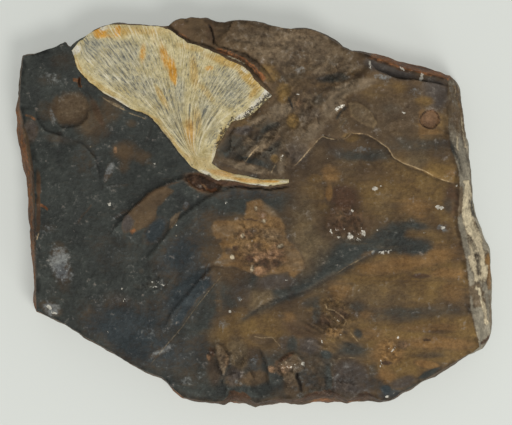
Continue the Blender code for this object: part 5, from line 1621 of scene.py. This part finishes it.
# %% [markdown]
# What stone and film have in common
#
# A stain on a real surface has a ragged edge and is never one even tone. So its field is first moved up
# and down by noise of the size of the grains and then passed through a soft step, and the colour laid
# there runs between a dark and a light shade of the same mineral.


# %% Grain, ragged edges and stains
def speckle(tree, place_on_piece, size, detail, roughness, stretch=(1, 1, 1), turn=0.0):
    """Noise about zero, with grains of the given size in metres: (noise - 0.5) times 2.4."""
    at = add(tree, "ShaderNodeMapping", {
        "Vector": place_on_piece, "Scale": stretch, "Rotation": (0, 0, math.radians(turn))})
    noise = add(tree, "ShaderNodeTexNoise", {
        "Vector": at.outputs[0], "Scale": 1 / size, "Detail": detail, "Roughness": roughness})
    return add(tree, "ShaderNodeMath", {
        0: noise.outputs["Fac"], 1: 2.4, 2: -1.2}, operation="MULTIPLY_ADD").outputs[0]


def ragged_edge(tree, field, grains, amount, soft, middle=0.5, full=1.0):
    """A field with its edge broken by grains: a soft step of field + amount * grains, up to full."""
    moved = add(tree, "ShaderNodeMath", {0: grains, 1: amount, 2: field}, operation="MULTIPLY_ADD")
    return add(tree, "ShaderNodeMapRange", {
        "Value": moved.outputs[0], "From Min": middle - soft, "From Max": middle + soft, "To Max": full},
        interpolation_type="SMOOTHSTEP").outputs[0]


def stain(tree, colour, cover, dark, light, tone):
    """A mineral laid over a colour: its own shade runs from dark to light by tone."""
    shade = add(tree, "ShaderNodeMix", {
        FACTOR: tone, FIRST_COLOUR: linear(dark), SECOND_COLOUR: linear(light)}, data_type="RGBA")
    return add(tree, "ShaderNodeMix", {
        FACTOR: cover, FIRST_COLOUR: colour, SECOND_COLOUR: shade.outputs[MIXED]},
        data_type="RGBA").outputs[MIXED]


print("stains are laid by three functions")

# %% [markdown]
# Mudstone, split along its bedding and soaked with iron
#
# Mudstone is compacted clay: fine, dull, with a faint sheen on the split plane. The base is a warm
# brown, and the stains lie over it. Their edges break up in lumps of clay about 3 mm wide and in grains
# of silt, which are drawn a millimetre wide so that they show. The ochre is streaked along the slab,
# because the iron came in along one direction of flow.

# %% Colours of the stone
STAIN_COLOURS = [  # field, dark shade, light shade, raggedness, softness
    ("slate", "282a27", "3c3f3a", 0.30, 0.46), ("blue", "21282a", "373d3e", 0.35, 0.46),
    ("plum", "3b3531", "504942", 0.35, 0.46), ("olive", "4e4230", "6e5d42", 0.30, 0.44),
    ("sand", "5a4c3a", "796953", 0.30, 0.38), ("ochre", "584327", "7a6137", 0.35, 0.46),
    ("amber", "664a28", "8a6a40", 0.35, 0.44), ("umber", "33251a", "533b29", 0.35, 0.42),
    ("peach", "6c5038", "9c7856", 0.45, 0.38), ("bloom_and_sheen", "44474a", "7b7c77", 0.80, 0.36),
    ("marl", "716a5b", "958c79", 0.30, 0.36), ("cream", "a2947a", "cfc09f", 0.40, 0.30),
    ("rust", "4c2e1b", "8c5c36", 0.45, 0.36),
]
print(len(STAIN_COLOURS), "minerals")

# %% Mudstone material
DRIFT, LUMPS, CLAY, STREAKS = 9 * MM, 3.2 * MM, 1.2 * MM, 2.4 * MM  # sizes of its grains
FLOW_STRETCH, FLOW_TURN = (0.3, 1.2, 1), -8.0


def mudstone():
    """The stone's material: base, stains in order, calcite, grain and two sizes of bump."""
    material, tree, shader = new_material("split mudstone, iron-stained")
    fields = {
        name: add(tree, "ShaderNodeAttribute", attribute_name=name).outputs["Fac"] for name in wall_fields}
    place_in_stone = add(tree, "ShaderNodeTexCoord").outputs["Object"]
    drift = speckle(tree, place_in_stone, DRIFT, 5.0, 0.6)
    lumps = speckle(tree, place_in_stone, LUMPS, 5.0, 0.68)
    clay = speckle(tree, place_in_stone, CLAY, 3.0, 0.7)
    streaks = speckle(tree, place_in_stone, STREAKS, 5.0, 0.65, FLOW_STRETCH, FLOW_TURN)
    grains = add(tree, "ShaderNodeMath", {0: clay, 1: 0.6, 2: lumps}, operation="MULTIPLY_ADD").outputs[0]
    warm = add(tree, "ShaderNodeMath", {0: drift, 1: 1.0, 2: 0.5}, operation="MULTIPLY_ADD",
               use_clamp=True).outputs[0]
    tone = add(tree, "ShaderNodeMath", {0: grains, 1: 0.6, 2: warm}, operation="MULTIPLY_ADD",
               use_clamp=True).outputs[0]
    colour = stain(tree, linear("5a4c3a"), 1.0, "3e3123", "5d4b34", warm)
    for name, dark, light, amount, soft in STAIN_COLOURS:
        edge = streaks if name in ("ochre", "amber") else grains
        cover = ragged_edge(tree, fields[name], edge, amount, soft)
        colour = stain(tree, colour, cover, dark, light, tone)
    colour = calcite(tree, place_in_stone, colour, lumps, clay, fields)
    rough = add(tree, "ShaderNodeMath", {0: fields["crumb"], 1: 0.7, 2: 0.3},
                operation="MULTIPLY_ADD").outputs[0]
    grain = add(tree, "ShaderNodeMath", {0: clay, 1: rough, 2: 1.0}, operation="MULTIPLY_ADD").outputs[0]
    # Painted light and shade: proud places are drawn up to a third lighter, hollows as much darker
    relief_shading = add(tree, "ShaderNodeMapRange", {
        "Value": fields["worn"], "From Min": -1.4, "From Max": 1.4, "To Min": 0.64,
        "To Max": 1.36}).outputs[0]
    for shading in (grain, relief_shading):
        colour = add(tree, "ShaderNodeMix", {FACTOR: 1.0, FIRST_COLOUR: colour, SECOND_COLOUR: shading},
                     data_type="RGBA", blend_type="MULTIPLY").outputs[MIXED]
    relief = add(tree, "ShaderNodeMath", {0: clay, 1: rough}, operation="MULTIPLY").outputs[0]
    fine = add(tree, "ShaderNodeBump", {"Height": relief, "Strength": 1.0, "Distance": 0.24 * MM})
    broad = add(tree, "ShaderNodeBump", {
        "Height": lumps, "Strength": 0.6, "Distance": 0.4 * MM, "Normal": fine.outputs[0]})
    dull = add(tree, "ShaderNodeMapRange", {
        "Value": lumps, "From Min": -0.5, "From Max": 0.5, "To Min": 0.42, "To Max": 0.66})
    tree.links.new(colour, shader.inputs["Base Color"])
    tree.links.new(broad.outputs[0], shader.inputs["Normal"])
    tree.links.new(dull.outputs[0], shader.inputs["Roughness"])
    shader.inputs["Specular IOR Level"].default_value = 0.14
    return material


# %% [markdown]
# Calcite, pale lines and painted shade on the stone
#
# Calcite comes as white chips and dust. The pale lines are scratches, and painted highlights along the
# lit edges of two beds. A line is narrower than a step of the mesh, so the mesh carries the distance to
# it, which a straight blend keeps exact, and the material draws the line from that. Crevices get their
# painted shade last.

# %% Calcite
FLECKS_APART = 2.6 * MM


def pale_line(tree, lumps, side, shown):
    """Where a pale line shows, scratches and painted highlights alike: near zero distance, in broken
    stretches.
    """
    wavy = add(tree, "ShaderNodeMath", {0: lumps, 1: 0.9, 2: side}, operation="MULTIPLY_ADD")
    away = add(tree, "ShaderNodeMath", {0: wavy.outputs[0]}, operation="ABSOLUTE")
    broken = add(tree, "ShaderNodeMapRange", {
        "Value": lumps, "From Min": -0.3, "From Max": 0.3, "To Min": 0.0, "To Max": shown})
    return add(tree, "ShaderNodeMapRange", {
        "Value": away.outputs[0], "From Min": 0.1, "From Max": 0.85, "To Min": broken.outputs[0],
        "To Max": 0.0}).outputs[0]


def calcite(tree, place_in_stone, colour, lumps, clay, fields):
    """Crust, pale lines with their painted highlights, small flecks, then the painted shade in crevices,
    over the stains.
    """
    tone = add(tree, "ShaderNodeMath", {0: clay, 1: 1.2, 2: 0.6}, operation="MULTIPLY_ADD",
               use_clamp=True).outputs[0]
    dusted = ragged_edge(tree, fields["crust"], clay, 0.9, 0.12, 0.72, 0.8)
    colour = stain(tree, colour, dusted, "9a9484", "cfcabc", tone)
    # Pale lines: scratches, and painted highlights along the lit edges of two beds
    pale_lines_and_highlights = pale_line(tree, lumps, fields["line_side"], fields["line_shown"])
    colour = stain(tree, colour, pale_lines_and_highlights, "927b59", "c0a77f", tone)
    flecks = add(tree, "ShaderNodeTexVoronoi", {
        "Vector": place_in_stone, "Scale": 1 / FLECKS_APART}, feature="F1")
    chosen = add(tree, "ShaderNodeSeparateColor", {"Color": flecks.outputs["Color"]})
    rare = add(tree, "ShaderNodeMapRange", {
        "Value": chosen.outputs[0], "From Min": 0.97, "From Max": 0.99, "To Max": 0.45})
    near = add(tree, "ShaderNodeMapRange", {
        "Value": flecks.outputs["Distance"], "From Min": 0.05, "From Max": 0.13,
        "To Min": rare.outputs[0], "To Max": 0.0})
    colour = stain(tree, colour, near.outputs[0], "8f8369", "a89a80", tone)
    # Painted shade: crevices, the feet of ledges and cracks are darkened nearly to black
    painted_shade_cover = add(tree, "ShaderNodeMapRange", {"Value": fields["painted_shade"], "To Max": 0.85})
    return stain(tree, colour, painted_shade_cover.outputs[0], "16120e", "221c16", tone)


stone.data.materials.append(mudstone())
print("mudstone nodes:", len(stone.data.materials[0].node_tree.nodes))

# %% [markdown]
# Calcite film, grown over the leaf
#
# The leaf itself is long gone: what shows is a chalky film that took its place. It is cream on the
# veins and grey-blue between them, where the film is thinnest, in short dashes that follow the veins.
# The dashes are noise on the leaf's own coordinates, stretched along the vein, about 0.4 mm wide.

# %% Leaf material
BLOTCHES, CHALK_GRAINS = 3.0 * MM, 0.75 * MM
DASHES, STROKES = (190.0, 22.0, 1.0), (120.0, 9.0, 1.0)  # across the leaf and up it
FILM_COLOURS = [  # field, dark shade, light shade, raggedness, softness, middle
    ("wash", "858880", "a9a897", 0.9, 0.6, 0.62), ("ochre", "a38344", "cba85e", 0.8, 0.5, 0.5),
    ("orange", "a8721e", "dca13a", 0.9, 0.5, 0.6), ("white", "bdb7a6", "e9e4d6", 0.9, 0.4, 0.6),
]


def calcite_film():
    """The leaf's material: cream film, stains, grey-blue dashes between the veins, chalky surface."""
    material, tree, shader = new_material("calcite film, chalky")
    fields = {
        name: add(tree, "ShaderNodeAttribute", attribute_name=name).outputs["Fac"] for name in leaf_fields}
    place_on_leaf = add(tree, "ShaderNodeTexCoord").outputs["Object"]
    fan_place = add(tree, "ShaderNodeUVMap", uv_map="fan").outputs[0]
    blotch = speckle(tree, place_on_leaf, BLOTCHES, 4.0, 0.65)
    chalk = speckle(tree, place_on_leaf, CHALK_GRAINS, 2.0, 0.7)
    dashes = speckle(tree, fan_place, 1.0, 3.0, 0.7, DASHES)
    strokes = speckle(tree, fan_place, 1.0, 4.0, 0.75, STROKES)
    tone = add(tree, "ShaderNodeMath", {0: blotch, 1: 1.0, 2: 0.5}, operation="MULTIPLY_ADD",
               use_clamp=True).outputs[0]
    colour = stain(tree, linear("c0b084"), 1.0, "ab9a66", "d7ca9e", tone)
    for name, dark, light, amount, soft, middle in FILM_COLOURS:
        cover = ragged_edge(tree, fields[name], dashes, amount, soft, middle)
        colour = stain(tree, colour, cover, dark, light, tone)
    raised = ragged_edge(tree, fields["vein"], strokes, 1.7, 0.5, 0.95, 0.75)
    colour = stain(tree, colour, raised, "d0c49b", "e5dec8", tone)
    worn_through = add(tree, "ShaderNodeMath", {0: strokes, 1: -0.5, 2: dashes}, operation="MULTIPLY_ADD")
    gaps = ragged_edge(tree, fields["furrow"], worn_through.outputs[0], 1.5, 0.5, 0.9, 0.88)
    colour = stain(tree, colour, gaps, "464a4a", "6f716a", tone)
    holes = ragged_edge(tree, fields["bare"], chalk, 1.5, 0.15, 0.72, 0.9)
    colour = stain(tree, colour, holes, "332b22", "42392e", tone)
    grain = add(tree, "ShaderNodeMapRange", {
        "Value": chalk, "From Min": -0.6, "From Max": 0.6, "To Min": 0.86, "To Max": 1.1})
    colour = add(tree, "ShaderNodeMix", {FACTOR: 1.0, FIRST_COLOUR: colour, SECOND_COLOUR: grain.outputs[0]},
                 data_type="RGBA", blend_type="MULTIPLY").outputs[MIXED]
    bump = add(tree, "ShaderNodeBump", {"Height": chalk, "Strength": 0.7, "Distance": 0.12 * MM})
    grooves = add(tree, "ShaderNodeBump", {
        "Height": dashes, "Strength": 0.6, "Distance": 0.15 * MM, "Normal": bump.outputs[0]})
    tree.links.new(colour, shader.inputs["Base Color"])
    tree.links.new(grooves.outputs[0], shader.inputs["Normal"])
    shader.inputs["Roughness"].default_value = 0.82
    shader.inputs["Specular IOR Level"].default_value = 0.2
    return material


leaf.data.materials.append(calcite_film())
print("leaf nodes:", len(leaf.data.materials[0].node_tree.nodes))

# %% [markdown]
# Floor, light and camera
#
# The slab lies on a light table: white paper with a little light from below, which keeps the slab's
# shadow faint. The lamps are large and soft and stand on the near side, so that steps facing away from
# them are dark, and a large share of the light comes from all round. The camera looks straight down
# through a long lens, so the sides show no more than they do to the eye from above.

# %% Stage
FLOOR_HALF = 1.2
FLOOR_DROP = 0.02 * MM  # keeps the floor off the slab's own flat foot, where the two would flicker
CAMERA_AWAY = 1.2
VIEW_WIDTH = 512 * UNIT
VIEW_CENTRE = place((256, 212.5))

floor_mesh = bpy.data.meshes.new("floor")
floor_mesh.from_pydata(
    [(x * FLOOR_HALF, y * FLOOR_HALF, -FLOOR_DROP) for x, y in ((-1, -1), (1, -1), (1, 1), (-1, 1))], [],
    [(0, 1, 2, 3)])
floor = put_in_scene("floor", floor_mesh)
paper, _, paper_shader = new_material("matt white paper, lit from below")
paper_shader.inputs["Base Color"].default_value = linear("a8aaa5")
paper_shader.inputs["Emission Color"].default_value = linear("fbfff8")
paper_shader.inputs["Emission Strength"].default_value = 0.32
paper_shader.inputs["Roughness"].default_value = 0.9
paper_shader.inputs["Specular IOR Level"].default_value = 0.1
floor_mesh.materials.append(paper)
print("floor is", 2 * FLOOR_HALF, "m wide")

# %% Lights
WORLD_LIGHT = 0.52
LAMPS = {
    "key": dict(location=(0.26, -0.42, 1.10), size=0.40, power=6.2),
    "rake": dict(location=(0.50, -0.90, 0.50), size=0.45, power=2.6),
}

world = bpy.data.worlds.new("studio")
bpy.context.scene.world = world
world.use_nodes = True
world.node_tree.nodes["Background"].inputs["Color"].default_value = linear("ffffff")
world.node_tree.nodes["Background"].inputs["Strength"].default_value = WORLD_LIGHT
for name, lamp in LAMPS.items():
    lamp_data = bpy.data.lights.new(name, "AREA")
    lamp_data.shape, lamp_data.size, lamp_data.energy = "DISK", lamp["size"], lamp["power"]
    made = put_in_scene(name, lamp_data)
    made.location = lamp["location"]
    made.rotation_euler = made.location.to_track_quat("Z", "Y").to_euler()
bpy.context.scene.view_settings.view_transform = "Standard"
print("world light", WORLD_LIGHT, "and", len(LAMPS), "lamps")

# %% Camera
camera_data = bpy.data.cameras.new("camera")
camera_data.sensor_width = 36.0
camera_data.lens = camera_data.sensor_width * CAMERA_AWAY / VIEW_WIDTH
camera_data.clip_start, camera_data.clip_end = 0.05, 10.0
camera = put_in_scene("camera", camera_data)
camera.location = (VIEW_CENTRE[0], VIEW_CENTRE[1], SLAB_THICKNESS + CAMERA_AWAY)
bpy.context.scene.camera = camera
print("lens", round(camera_data.lens), "mm at", CAMERA_AWAY, "m")
